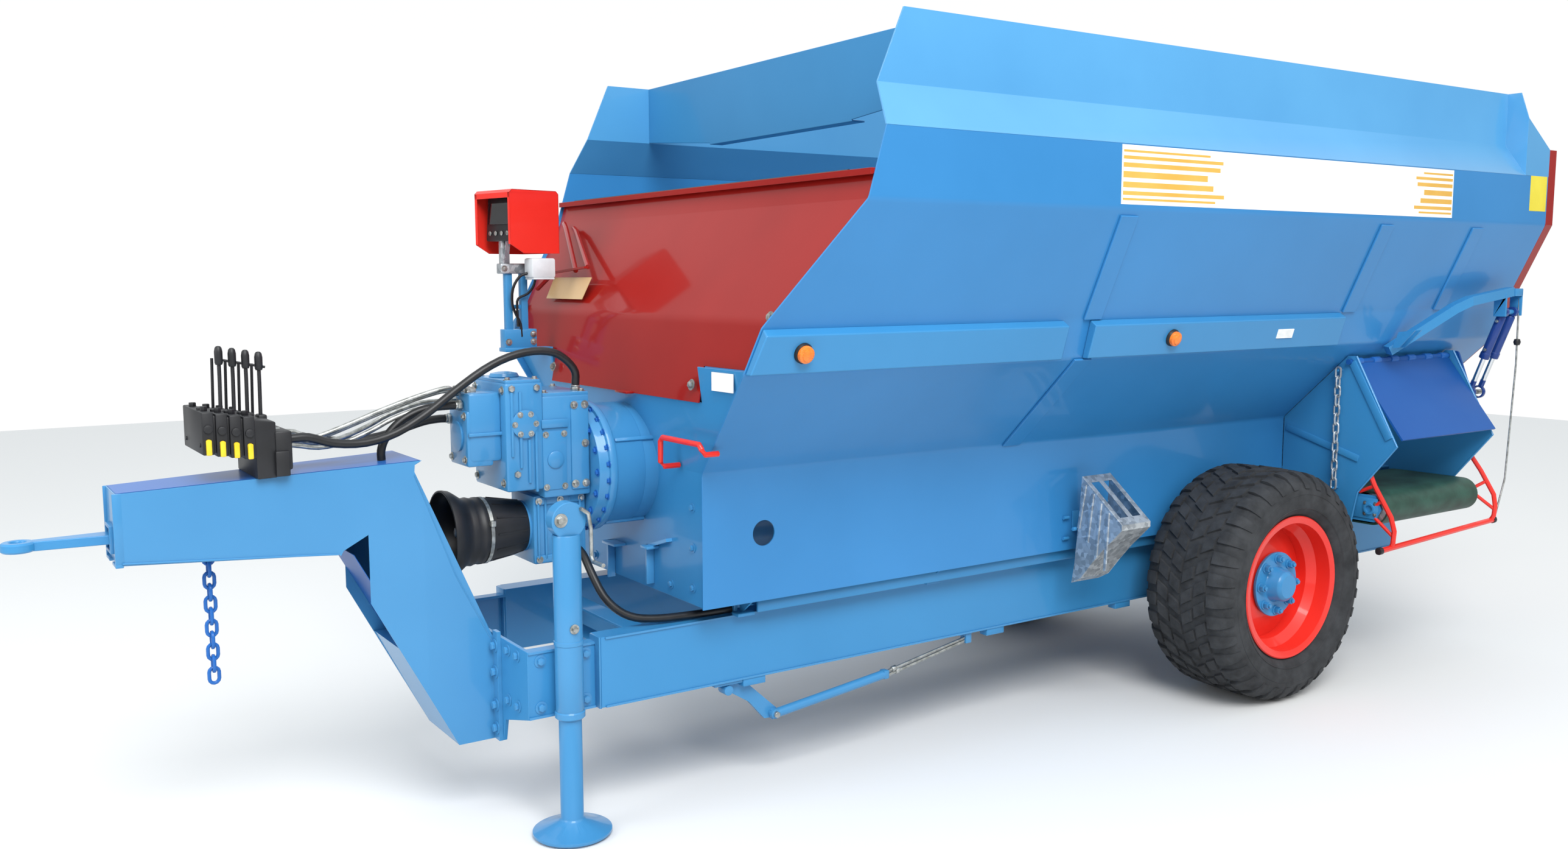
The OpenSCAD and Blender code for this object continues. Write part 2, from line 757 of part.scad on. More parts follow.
// Gearbox casting with the input shaft
module gearbox() color("#4D92D0") from_axle() {
    back = trough_front - 12 + housing_l;
    top = 1430;
    neck = 1068;
    block([back, -150, neck], [back + 175, 150, top]);
    block([back, -100, pto_z - 125], [back + 200, 100, neck]);
    block([back + 175, -150, neck + 32], [back + 310, 150, top + 50]);
    block([back + 310, -70, top - 225], [back + 430, 110, top + 10]);
    rod_z(back + 27, 90, 18, top, top + 19);
    rod_x(-50, top - 85, 18, back + 430, back + 450);
    rod_x(50, top - 32, 18, back + 430, back + 450);
    rod_y(back + 82, pto_z - 55, 18, 100, 118);
    rod_x(0, pto_z, pto_r, back + 200, back + 445);
}
// Cone guard round the input shaft
module pto_guard() color("#16171A") from_axle() {
    back = trough_front - 12 + housing_l + 200;
    translate([back, 0, pto_z]) rotate([0, 90, 0]) rotate_extrude() polygon([
        [70, 0], [85, 0], [100, 50], [113, 140], [117, 228], [146, 264], [150, 292], [144, 292],
        [140, 268], [111, 232], [107, 140], [94, 54], [80, 8], [70, 8]
    ]);
}

// Valve block on the drawbar: four sections one behind the other, each with its lever and cap
valve_pitch = 38.5;
module valve_block() color("#1D1F22") from_axle() {
    base = 1240;
    rear = 3880;
    foot = [rear + 45, rear + 105];
    front = foot[1] + 4 * valve_pitch;
    rise = 0.17;
    along_y(-130, 150) polygon([
        [foot[0], on_line(draw_top, foot[0]) + run], [foot[1], on_line(draw_top, foot[1]) + run],
        [foot[1], base + 46], [front - 6, base + 72], [front - 6, base + 184], [foot[0], base + 150]
    ]);
    block([rear, -120, base], [rear + 50, 150, base + 120]);
    for (i = [0 : 3]) {
        x = foot[1] + valve_pitch * (i + 0.5);
        up = base + rise * (x - foot[1]);
        lever_top = up + 367;
        block([x - 17, -140, up + 38], [x + 17, 158, up + 168]);
        block([x - 8, 157, up + 40], [x + 8, 168, up + 85]);
        rod_z(x - 70, 0, 8, base + 140, lever_top);
        rod_z(x - 70, 0, 12, lever_top - 60, lever_top);
    }
}

// Hood of the weighing display on its post, open below and turned a little
box_low = rail_top_z + 251;
box_s = 232;
box_h = 243;
module weighing_box() color(paint_red) from_axle() {
    wall = 8;
    translate([trough_front + 232, -490, box_low]) rotate(13) difference() {
        block([-box_s, -box_s, 0], [0, 0, box_h]);
        block([wall - box_s, wall - box_s, -1], [-wall, -wall, box_h - wall]);
    }
}
module weighing_post() color("#3B7DBE") from_axle() {
    rear = trough_front + 115;
    front = trough_front + 207;
    head = box_low - 76;
    block([trough_front + 18, -665, corner_z], [front + 14, -595, corner_z + 16]);
    block([rear, -640, corner_z + 15], [rear + 28, -610, head]);
    block([front - 28, -640, corner_z + 15], [front, -610, head]);
    block([rear - 15, -645, head - 1], [front + 22, -600, head + 40]);
    block([front - 20, -640, head + 39], [front + 14, -610, box_low + box_h - 8]);
}

// Red grab handle on the front plate
module front_handle() color(paint_red) from_axle() {
    back = trough_front - 6;
    out = trough_front + 68;
    tube([
        [back, 380, 1180], [out - 13, 380, 1180], [out, 380, 1195], [out, 380, 1268], [out, 395, 1282],
        [out, 640, 1282], [out, 655, 1268], [out - 13, 655, 1250], [back + 10, 655, 1250]
    ], 10, [0.6, 0.2, 0.77], 8);
}

// Side plates of the discharge with the chute's floor between them
module discharge_housing() color("#3474B8") from_axle() {
    plate_t = 8;
    foot = [skirt_y + 1, crease_z + 1];
    outline = [
        [560, 760], [620, 700], [900, 700], [930, 860], [1105, 1080],
        [flap_hinge_y + 26, flap_hinge_z + 26], [wall_y(flap_hinge_z + 26) + 3, flap_hinge_z + 26],
        [wall_y(flap_hinge_z) + 3, flap_hinge_z], foot + [2, 0], [skirt_y + 3, 760]
    ];
    for (x = [-outlet_front - plate_t, -outlet_rear])
        difference() {
            along_x(x, x + plate_t) polygon(outline);
            rod_x(flap_hinge[0], flap_hinge[1], pin_r + run, x - 20, x + 20);
            if (x > -outlet_rear)
                rod_x(chain_y, chain_low + chain_pin_gap, chain_pin_r + run, x - 20, x + 20);
        }
    along_x(-outlet_rear, -outlet_front)
        polygon([[350, 888], [600, 872], [600, 866], [352, 881]]);
    // Pin that the chain hangs on
    rod_x(chain_y, chain_top - chain_pin_gap, chain_pin_r, -outlet_front - 1, -outlet_front + 38);
}
// Flap that swings between the side plates, on a shaft with a lever at its rear end
lever_x = cylinder_x + 15;
module discharge_flap() color("#2B62B0") from_axle() {
    gap = 8;
    flap_t = 8;
    direction = [cos(flap_lean), -sin(flap_lean)];
    across = [direction[1], -direction[0]] * flap_t / 2;
    start = flap_hinge + direction * 6;
    end = flap_hinge + direction * flap_l;
    along_x(-outlet_rear + 8 + gap, -outlet_front - 8 - gap)
        polygon([start - across, end - across, end + across, start + across]);
    rod_x(flap_hinge[0], flap_hinge[1], pin_r, lever_x, -outlet_front + 20);
    along_x(lever_x, lever_x + 12) hull() {
        translate(flap_hinge) circle(20);
        translate(lever_pin) circle(22);
    }
    rod_x(lever_pin[0], lever_pin[1], pin_r, cylinder_x - 14, lever_x + 1);
}
// Bent square tube from the side wall to the cylinder's upper pin
module discharge_arm() color(paint_blue) from_axle() {
    root_z = flap_hinge_z + 45;
    root = [-outlet_front - 200, wall_y(root_z) + 48, root_z];
    elbow = [-outlet_front - 520, arm_pin[0] + 5, arm_pin[1] + 50];
    tip = [cylinder_x - 40, arm_pin[0] + 5, arm_pin[1] + 95];
    tube([root, elbow + 0.12 * (root - elbow), elbow + 0.12 * (tip - elbow), tip], 30, [0, 1, -1], 4);
    along_x(cylinder_x + 24, cylinder_x + 36) polygon([
        arm_pin + [-28, -20], arm_pin + [28, -20], arm_pin + [28, 88], arm_pin + [-28, 88]
    ]);
    rod_x(arm_pin[0], arm_pin[1], pin_r, cylinder_x - 14, cylinder_x + 25);
}
// Cylinder: barrel on the arm's pin, rod with an eye on the lever's pin
cylinder_l = norm(arm_pin - lever_pin);
module cylinder_axis() {
    d = unit(lever_pin - arm_pin);
    translate([cylinder_x, arm_pin[0], arm_pin[1]])
        multmatrix([[1, 0, 0, 0], [0, d[1], d[0], 0], [0, -d[0], d[1], 0], [0, 0, 0, 1]])
            children();
}
barrel_l = 235;
module flap_cylinder() color("#1B3E86") from_axle() {
    difference() {
        union() {
            cylinder_axis() translate([0, 0, 20]) cylinder(r = 21, h = barrel_l - 20);
            rod_x(arm_pin[0], arm_pin[1], 24, cylinder_x - 10, cylinder_x + 10);
        }
        rod_x(arm_pin[0], arm_pin[1], pin_r + run, cylinder_x - 30, cylinder_x + 30);
        cylinder_axis() translate([0, 0, 60]) cylinder(r = 12 + run, h = barrel_l);
    }
}
// The eye's hole is wide, as the linkage is opened there
module flap_rod() color("#C9CDD2") from_axle() {
    eye_hole = pin_r + 11;
    difference() {
        union() {
            cylinder_axis() translate([0, 0, 165]) cylinder(r = 12, h = cylinder_l - 165);
            rod_x(lever_pin[0], lever_pin[1], eye_hole + 8, cylinder_x - 9, cylinder_x + 9);
        }
        rod_x(lever_pin[0], lever_pin[1], eye_hole, cylinder_x - 30, cylinder_x + 30);
    }
}

// Short cross conveyor under the flap
conveyor_z = 790;
conveyor_out = 985;
conveyor_in = 640;
module conveyor_frame() color(paint_blue) from_axle() {
    t = 8;
    side = [
        [conveyor_in - 40, conveyor_z - 60], [conveyor_out + 20, conveyor_z - 60],
        [conveyor_out + 50, conveyor_z], [conveyor_out + 20, conveyor_z + 60],
        [conveyor_in - 40, conveyor_z + 60]
    ];
    front = -outlet_front - 20;
    rear = -outlet_rear + 18;
    for (x = [front - t, rear - t])
        difference() {
            along_x(x, x + t) polygon(side);
            for (y = [conveyor_out, conveyor_in])
                rod_x(y, conveyor_z, 16, x - 1, x + t + 1);
        }
    for (y = [conveyor_in + 110, conveyor_out - 110])
        block([rear - 1, y - 12, conveyor_z - 14], [front - t + 1, y + 12, conveyor_z + 14]);
    // Lug and pin for the chain
    pin_z = chain_low + chain_pin_gap;
    block([front - t, chain_y - 15, conveyor_z + 59], [front, chain_y + 15, pin_z + 14]);
    rod_x(chain_y, pin_z, chain_pin_r, front - 1, -outlet_front + 38);
}
module conveyor_belt() color("#16362F") from_axle() {
    rear = -outlet_rear + 22;
    front = -outlet_front - 32;
    along_x(rear, front) difference() {
        hull() for (y = [conveyor_out, conveyor_in]) translate([y, conveyor_z]) circle(roller_r);
        hull() for (y = [conveyor_out, conveyor_in]) translate([y, conveyor_z]) circle(roller_r - 8);
    }
    for (y = [conveyor_out, conveyor_in]) {
        rod_x(y, conveyor_z, roller_r - 8 + run, rear + 6, front - 6);
        rod_x(y, conveyor_z, 16 - run, rear - 12, front + 10);
    }
}
module conveyor_guard() color(paint_red) from_axle() {
    near = -outlet_front - 19;
    far = -outlet_rear - 11;
    r = 11;
    out = far - 38;
    tube([
        [near, 880, 985], [near, 935, 990], [near, 965, 970], [near, 1000, 895], [near, 1084, 765],
        [near, 1102, 705], [near, 1098, 650], [near, 1090, 630]
    ], r, [1, 0, 0], 8);
    tube([
        [far, 880, 1020], [far, 935, 1028], [far - 14, 960, 1010], [out, 1030, 898], [out, 1098, 790],
        [out, 1108, 735], [out, 1104, 690], [out, 1090, 664]
    ], r, [1, 0, 0], 8);
    tube([[near + 70, 1090, 626], [out - 12, 1090, 665]], 13, [0, 0, 1], 8);
}

// Zinc chain that holds the conveyor up, on one pin above and one below
chain_y = 830;
chain_top = 1415;
chain_link = 62;
chain_wire = 5;
chain_links = 13;
chain_low = chain_top - chain_links * (chain_link - 4 * chain_wire - run) - 4 * chain_wire - run;
chain_pin_r = 4.5;
chain_pin_gap = 2 * chain_wire + chain_pin_r + 0.7;
module hold_chain() color("#A9ADB0") from_axle() {
    chain([-outlet_front + 30, chain_y, chain_top], chain_link, chain_wire, chain_links, 90);
}

// Brake linkage under the left beam
module brake_linkage() color(paint_blue) from_axle() {
    y = beam_y - 40;
    along_y(y - 8, y + 8) polygon([[2560, beam_z], [2440, beam_z], [2260, 225], [2340, 225], [2400, 300]]);
    tube([[2300, y + 20, 240], [2050, y + 20, 268], [1780, y + 20, 300]], 18, [0, 1, 0], 8);
    tube([[1780, y + 20, 306], [1560, y + 20, 345], [1368, y + 20, 378]], 6, [0, 1, 0], 8);
    tube([[1780, y + 20, 290], [1560, y + 20, 330], [1368, y + 20, 366]], 6, [0, 1, 0], 8);
    block([1350, y - 4, 355], [1380, y + 34, beam_z]);
}

// Wheel chock in its holder on the skirt
module wheel_chock() color("#B9BFC4") from_axle() {
    along_x(770, 940) translate([skirt_y, 0]) polygon([
        [92, 1020], [306, 852], [306, 830], [262, 786], [216, 742], [160, 680], [96, 602], [46, 574],
        [60, 653], [80, 847]
    ]);
    block([815, skirt_y, 780], [895, skirt_y + 90, 860]);
}

module marker_lamps() color("#E07010") from_axle() {
    for (side = [LEFT, RIGHT])
        on_side(side) difference() {
            for (x = [2543, 818])
                rod_y(x, 1590, 34, waist_y + 20, waist_y + 88);
            along_x(0, trough_front) polygon(concat([[waist_y - 50, rail_low_z]], [
                for (i = [1, 2]) rail_section[i]
            ], [[waist_y - 50, rail_top_z]]));
        }
}

module hose_upper() color("#141518") from_axle() tube(HOSE_UPPER, hose_r, [0, 1, 0], 8);
module hose_middle() color("#141518") from_axle() tube(HOSE_MIDDLE, hose_r, [0, 1, 0], 8);
module hose_riser() color("#141518") from_axle() tube(HOSE_RISER, hose_r, [0, 1, 0], 8);
module hose_lower() color("#141518") from_axle() tube(HOSE_LOWER, hose_r, [1, 0.2, 0.9], 8);

// Auger: tube with one helical flight
module auger() color("#8F979C") from_axle() {
    difference() {
        rod_x(0, auger_z, auger_tube_r, auger_rear, auger_front);
        rod_x(0, auger_z, auger_tube_r - 12, auger_rear + 12, auger_front - 12);
    }
    rod_x(0, auger_z, 38, auger_rear - 60, auger_rear + 1);
    rod_x(0, auger_z, 70, auger_front - 1, auger_front + 90);
    turns = (auger_front - auger_rear - 80) / auger_pitch;
    steps = floor(turns * 20);
    inner = auger_tube_r - 4;
    points = [
        for (i = [0 : steps])
            let (a = 360 * turns * i / steps, x = auger_rear + 40 + auger_pitch * turns * i / steps)
            each [
                [x, inner * cos(a), auger_z + inner * sin(a)],
                [x, flight_r * cos(a), auger_z + flight_r * sin(a)],
                [x + flight_t, flight_r * cos(a), auger_z + flight_r * sin(a)],
                [x + flight_t, inner * cos(a), auger_z + inner * sin(a)]
            ]
    ];
    walls = [
        for (i = [0 : steps - 1])
            for (k = [0 : 3])
                let (a = 4 * i + k, b = 4 * i + (k + 1) % 4)
                each [[a, b, b + 4], [a, b + 4, a + 4]]
    ];
    polyhedron(points, concat(walls, [[3, 2, 1, 0], [for (k = [0 : 3]) 4 * steps + k]]));
}

frame();
drawbar();
tow_eye();
safety_chain();
jack_tube();
jack_foot();
axle();
trough();
side_wall_left();
side_wall_right();
extension_left();
extension_right();
cross_wall();
front_wall();
rear_wall();
rail_left();
rail_right();
gear_housing();
gearbox();
pto_guard();
valve_block();
weighing_box();
weighing_post();
discharge_housing();
discharge_arm();
conveyor_frame();
conveyor_belt();
conveyor_guard();
hold_chain();
brake_linkage();
wheel_chock();
marker_lamps();
front_handle();
hose_upper();
hose_middle();
hose_riser();
hose_lower();
auger();
discharge_flap();
flap_cylinder();
flap_rod();
hub_left();
rim_left();
tyre_left();
hub_right();
rim_right();
tyre_right();
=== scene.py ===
# Feed mixer wagon dressed for a studio picture: painted sheet tub, steel frame and farm tyres.
import math

import bmesh
import bpy
from mathutils import Matrix, Vector


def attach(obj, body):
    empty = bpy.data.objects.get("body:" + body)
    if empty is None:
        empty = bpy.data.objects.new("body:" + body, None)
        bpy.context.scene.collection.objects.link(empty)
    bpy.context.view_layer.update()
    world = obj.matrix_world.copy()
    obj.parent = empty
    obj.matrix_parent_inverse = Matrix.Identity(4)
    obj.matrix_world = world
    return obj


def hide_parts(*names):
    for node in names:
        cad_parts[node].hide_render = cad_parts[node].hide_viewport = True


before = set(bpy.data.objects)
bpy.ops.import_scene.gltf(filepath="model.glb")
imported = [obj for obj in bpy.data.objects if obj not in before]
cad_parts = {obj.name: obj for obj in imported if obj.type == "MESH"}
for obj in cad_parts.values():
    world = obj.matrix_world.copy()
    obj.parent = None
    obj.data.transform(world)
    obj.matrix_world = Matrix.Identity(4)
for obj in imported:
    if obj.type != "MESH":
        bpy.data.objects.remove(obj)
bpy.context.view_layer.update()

# The wagon's own places are counted from the axle, in metres
AXLE = -1.48
LEFT = 1
RIGHT = -1
WHEEL_Y = 0.78
AXLE_Z = 0.5
# Heights of the gear housing's axis and of the input shaft
HOUSING_Z = 1.15
SHAFT_Z = 0.955
AHEAD = (1, 0, 0)
ACROSS = (0, 1, 0)
UPRIGHT = (0, 0, 1)


def at(x, y, z):
    return Vector((x + AXLE, y, z))


# Camera of the photograph
def photo_camera():
    yaw = math.radians(-124.129)
    pitch = math.radians(-6.424)
    roll = math.radians(-0.15)
    ahead = Vector((math.cos(pitch) * math.cos(yaw), math.cos(pitch) * math.sin(yaw), math.sin(pitch)))
    right = ahead.cross(Vector(UPRIGHT)).normalized()
    up = right.cross(ahead)
    turn = Matrix((right, up, -ahead)).transposed() @ Matrix.Rotation(roll, 3, "Z")
    data = bpy.data.cameras.new("photo_camera")
    data.lens = 30.03
    data.sensor_width = 36
    data.clip_end = 100
    camera = bpy.data.objects.new("photo_camera", data)
    camera.matrix_world = Matrix.Translation((3.383, 4.281, 1.822)) @ turn.to_4x4()
    bpy.context.scene.collection.objects.link(camera)
    bpy.context.scene.camera = camera


photo_camera()


# Shapes
def rounded(bm, verts, width, segments=2):
    edges = list({e for v in verts for e in v.link_edges})
    bmesh.ops.bevel(
        bm, geom=edges, offset=width, segments=segments, affect="EDGES", profile=0.5, material=-1,
    )


def slab(bm, low, high, edge=0.0):
    made = bmesh.ops.create_cube(bm, size=1.0)["verts"]
    bmesh.ops.scale(bm, vec=Vector(high) - Vector(low), verts=made)
    bmesh.ops.translate(bm, vec=(Vector(high) + Vector(low)) / 2, verts=made)
    if edge:
        rounded(bm, made, edge)


def blocks(bm, *boxes):
    """Slabs by their lowest and highest corner and the width of their edges."""
    for low, high, edge in boxes:
        slab(bm, at(*low), at(*high), edge)


def rod(bm, start, end, radius, sides=24, edge=0.0):
    start = Vector(start)
    along = Vector(end) - start
    made = bmesh.ops.create_cone(
        bm, cap_ends=True, segments=sides, radius1=radius, radius2=radius, depth=along.length,
    )["verts"]
    turn = along.to_track_quat("Z", "Y").to_matrix()
    bmesh.ops.rotate(bm, cent=(0, 0, 0), matrix=turn, verts=made)
    bmesh.ops.translate(bm, vec=start + along / 2, verts=made)
    if edge:
        rims = {
            e
            for v in made
            for e in v.link_edges
            if abs((e.verts[0].co - e.verts[1].co).dot(along)) < 1e-9
        }
        bmesh.ops.bevel(
            bm, geom=list(rims), offset=edge, segments=2, affect="EDGES", profile=0.5, material=-1,
        )


def plate(bm, corners, thickness):
    """A flat outline of points with a thickness vector."""
    face = bm.faces.new([bm.verts.new(c) for c in corners])
    grown = bmesh.ops.extrude_face_region(bm, geom=[face])["geom"]
    verts = [v for v in grown if isinstance(v, bmesh.types.BMVert)]
    bmesh.ops.translate(bm, vec=thickness, verts=verts)


def swept(bm, rings):
    """A solid drawn out of one face through rings of points."""
    face = bm.faces.new([bm.verts.new(point) for point in rings[0]])
    for old, new in zip(rings, rings[1:]):
        grown = bmesh.ops.extrude_face_region(bm, geom=[face])["geom"]
        if old is not rings[0]:
            bmesh.ops.delete(bm, geom=[face], context="FACES_ONLY")
        face = next(g for g in grown if isinstance(g, bmesh.types.BMFace))
        for vert in face.verts:
            nearest = min(range(len(old)), key=lambda k: (vert.co - old[k]).length)
            vert.co = new[nearest]


def closed_line(bm, points):
    verts = [bm.verts.new(point) for point in points]
    return verts, [bm.edges.new(pair) for pair in zip(verts, verts[1:] + verts[:1])]


def lathe(bm, profile, centre, axis, steps=72):
    """Turns a closed outline of (radius, along) pairs about an axis."""
    axis = Vector(axis).normalized()
    side = axis.orthogonal().normalized()
    verts, edges = closed_line(bm, [Vector(centre) + side * r + axis * a for r, a in profile])
    bmesh.ops.spin(
        bm, geom=verts + edges, cent=centre, axis=axis, dvec=(0, 0, 0), angle=math.tau, steps=steps,
        use_merge=True,
    )
    bmesh.ops.remove_doubles(bm, verts=bm.verts, dist=1e-6)


def pipe(bm, path, radius, sides=12, closed=False):
    """A round bar bent along points."""
    path = [Vector(p) for p in path]
    n = len(path)
    spans = [(path[(i + 1) % n] - path[i]).normalized() for i in range(n if closed else n - 1)]
    normal = spans[0].orthogonal().normalized()
    rings = []
    for i, point in enumerate(path):
        before = spans[i - 1] if i or closed else spans[0]
        after = spans[i] if i < len(spans) else spans[-1]
        way = (before + after).normalized()
        normal = (normal - way * normal.dot(way)).normalized()
        other = way.cross(normal)
        ring = bmesh.ops.create_circle(bm, cap_ends=False, segments=sides, radius=radius)["verts"]
        turn = Matrix((normal, other, way)).transposed()
        bmesh.ops.rotate(bm, cent=(0, 0, 0), matrix=turn, verts=ring)
        bmesh.ops.translate(bm, vec=point, verts=ring)
        rings.append([e for v in ring for e in v.link_edges if e.verts[0] in ring and e.verts[1] in ring])
    rings = [list(set(r)) for r in rings]
    pairs = list(zip(rings, rings[1:])) + ([(rings[-1], rings[0])] if closed else [])
    for a, b in pairs:
        bmesh.ops.bridge_loops(bm, edges=a + b)
    if not closed:
        for ring in (rings[0], rings[-1]):
            bmesh.ops.edgeloop_fill(bm, edges=ring)


def turns(count, first=0.0):
    """Angles all round, counted in steps from the first."""
    return [math.tau * (k + first) / count for k in range(count)]


def hexagon_head(bm, place, axis, across, height):
    """A bolt head on its washer."""
    axis = Vector(axis).normalized()
    place = Vector(place)
    rod(bm, place, place + axis * height * 0.2, across * 0.95, 20)
    rod(bm, place + axis * height * 0.2, place + axis * height, across * 0.577, 6, edge=height * 0.12)


def bar(bm, start, end, wide, tall, up=UPRIGHT, edge=0.0):
    """A square bar from start to end, tall along up."""
    start = Vector(start)
    along = Vector(end) - start
    ahead = along.normalized()
    across = Vector(up).cross(ahead).normalized()
    made = bmesh.ops.create_cube(bm, size=1.0)["verts"]
    bmesh.ops.scale(bm, vec=(along.length, wide, tall), verts=made)
    turn = Matrix((ahead, across, ahead.cross(across))).transposed()
    bmesh.ops.rotate(bm, cent=(0, 0, 0), matrix=turn, verts=made)
    bmesh.ops.translate(bm, vec=start + along / 2, verts=made)
    if edge:
        rounded(bm, made, edge)


def prism_x(bm, outline, rear, front, side=LEFT):
    """A solid along x from an outline of (y, z)."""
    plate(bm, [at(rear, side * y, z) for y, z in outline], (front - rear, 0, 0))


def prism_y(bm, outline, low, high):
    """A solid across from an outline of (x, z)."""
    plate(bm, [at(x, low, z) for x, z in outline], (0, high - low, 0))


def punched(bm, centre, radius, reach):
    """Cuts a round hole into the flat of an upright sheet."""
    centre = Vector(centre)
    for way in (Vector(AHEAD), Vector(UPRIGHT)):
        for shift in (-reach, reach):
            bmesh.ops.bisect_plane(
                bm, geom=bm.verts[:] + bm.edges[:] + bm.faces[:], plane_co=centre + way * shift,
                plane_no=way,
            )
    spot = min(bm.faces, key=lambda f: (f.calc_center_median() - centre).length)
    border = list(spot.edges)
    bmesh.ops.delete(bm, geom=[spot], context="FACES_ONLY")
    ring = bmesh.ops.create_circle(bm, cap_ends=False, segments=40, radius=radius)["verts"]
    bmesh.ops.rotate(bm, cent=(0, 0, 0), matrix=Matrix.Rotation(math.pi / 2, 3, "X"), verts=ring)
    bmesh.ops.translate(bm, vec=centre, verts=ring)
    border += list({e for v in ring for e in v.link_edges})
    bmesh.ops.triangle_fill(bm, use_beauty=True, use_dissolve=False, edges=border)


def hanging_chain(bm, top, count, pitch, wire, turned=0):
    """Links that hang from a point, each a quarter turn from the last."""
    for i in range(count):
        middle = Vector(top) - Vector((0, 0, pitch * i + pitch / 2 + wire))
        bend = wire * 2.5
        half = pitch / 2 + wire - bend
        arc = [math.radians(a) for a in range(0, 181, 30)]
        loop = [(bend * math.cos(a), half + bend * math.sin(a)) for a in arc]
        loop += [(-x, -z) for x, z in loop]
        turn = Matrix.Rotation(math.radians(90 * (i + turned)), 3, "Z")
        pipe(bm, [middle + turn @ Vector((x, 0, z)) for x, z in loop], wire, 8, closed=True)


def smooth_route(points, parts=3):
    """Points between the given ones on a smooth curve through them."""
    points = [Vector(p) for p in points]
    ends = [points[0] * 2 - points[1]] + points + [points[-1] * 2 - points[-2]]
    route = []
    for a, b, c, d in zip(ends, ends[1:], ends[2:], ends[3:]):
        for k in range(parts):
            t = k / parts
            route.append(
                (
                    (b * 2) + (c - a) * t + (
                        a * 2 - b * 5 + c * 4 - d
                    ) * t * t + (b * 3 - a - c * 3 + d) * t ** 3
                ) / 2
            )
    return route + [points[-1]]


# Finishes
def linear(code):
    channels = [int(code[i : i + 2], 16) / 255 for i in (1, 3, 5)]
    return [c / 12.92 if c <= 0.04045 else ((c + 0.055) / 1.055) ** 2.4 for c in channels] + [1]


def node(tree, kind, links=None, **settings):
    made = tree.nodes.new(kind)
    for name, value in settings.items():
        setattr(made, name, value)
    for socket, value in (links or {}).items():
        if isinstance(value, bpy.types.NodeSocket):
            tree.links.new(value, made.inputs[socket])
        else:
            made.inputs[socket].default_value = value
    return made


def finish_named(name, colour, rough, metal=0.0, coat=0.0, ior=1.5, shine=0.5):
    material = bpy.data.materials.new(name)
    material.use_nodes = True
    material.diffuse_color = linear(colour)
    shader = material.node_tree.nodes["Principled BSDF"]
    shader.inputs["Base Color"].default_value = linear(colour)
    shader.inputs["Roughness"].default_value = rough
    shader.inputs["Metallic"].default_value = metal
    shader.inputs["Coat Weight"].default_value = coat
    shader.inputs["Coat Roughness"].default_value = 0.08
    shader.inputs["IOR"].default_value = ior
    shader.inputs["Specular IOR Level"].default_value = shine
    return material, shader


def pattern(tree, size_mm, detail=3.0, stretch=(1, 1, 1)):
    """Noise whose spots are about size_mm across, on Object coordinates."""
    coords = node(tree, "ShaderNodeTexCoord")
    mapping = node(tree, "ShaderNodeMapping", {"Vector": coords.outputs["Object"], "Scale": stretch})
    return node(
        tree, "ShaderNodeTexNoise",
        {
            "Vector": mapping.outputs["Vector"], "Scale": 1000 / size_mm, "Detail": detail,
            "Roughness": 0.55,
        },
    )


def mottled(tree, shader, noise, dark, light, low=0.35, high=0.65):
    ramp = node(tree, "ShaderNodeValToRGB", {"Fac": noise.outputs["Fac"]})
    ramp.color_ramp.elements[0].position = low
    ramp.color_ramp.elements[0].color = linear(dark)
    ramp.color_ramp.elements[1].position = high
    ramp.color_ramp.elements[1].color = linear(light)
    tree.links.new(ramp.outputs["Color"], shader.inputs["Base Color"])


def bumped(tree, shader, noise, depth_mm, under=None):
    links = {"Height": noise.outputs["Fac"], "Distance": depth_mm / 1000, "Strength": 1.0}
    if under:
        links["Normal"] = under.outputs["Normal"]
    bump = node(tree, "ShaderNodeBump", links)
    tree.links.new(bump.outputs["Normal"], shader.inputs["Normal"])
    return bump


def sprayed_paint(name, deep, bright, coat=0.3, wave_mm=1.0, shine=0.28):
    """Sprayed machine enamel on sheet steel: even and glossy, with the soft waves of the sheet."""
    material, shader = finish_named(name, bright, 0.38, coat=coat, shine=shine)
    tree = material.node_tree
    # Tone drifts over patches of about 0.9 m, as the sprayer left it
    mottled(tree, shader, pattern(tree, 900, 4), deep, bright, 0.3, 0.7)
    # The sheet's own waves are about 0.42 m long. The paint's orange peel is 2 to 3 mm
    # and drawn at 14 mm, so that it shows
    waves = bumped(tree, shader, pattern(tree, 420, 1), wave_mm)
    bumped(tree, shader, pattern(tree, 14, 2), 0.02, waves)
    return material


blue_enamel = sprayed_paint("blue_enamel", "#327EB2", "#3986BB")
# Darker copy of the blue paint for the side walls and their ribs: painted shade, for walls that lean out
# and face down
painted_shade_wall_enamel = sprayed_paint("painted_shade_wall_enamel", "#2E79B2", "#3581BC")
# Paler, glossier copy of the blue paint: its lighter colour is painted sheen, the bright reflection of
# the sky on the extensions
painted_sheen_blue_enamel = sprayed_paint("painted_sheen_blue_enamel", "#4690C4", "#509ACC", 0.6, 1.4, 0.4)
cast_blue_enamel = sprayed_paint("cast_blue_enamel", "#3A80B2", "#4289BB", 0.4, 0.3)
deep_blue_enamel = sprayed_paint("deep_blue_enamel", "#1F5CA8", "#2766B0", 0.15, 0.8, 0.2)
# Darkest copy of the blue paint: painted shade, for the flap under the body and the drawbar's set-back
# web
painted_shade_blue_enamel = sprayed_paint("painted_shade_blue_enamel", "#174C92", "#1E569C", 0.0, 0.5, 0.15)
red_enamel = sprayed_paint("red_enamel", "#8A110C", "#981812", 0.5, 0.6, 0.1)
bright_red_enamel = sprayed_paint("bright_red_enamel", "#D8241A", "#E8352A", 0.4, 0.3)
navy_enamel = sprayed_paint("navy_enamel", "#16306C", "#1E4088", 0.4, 0.2)


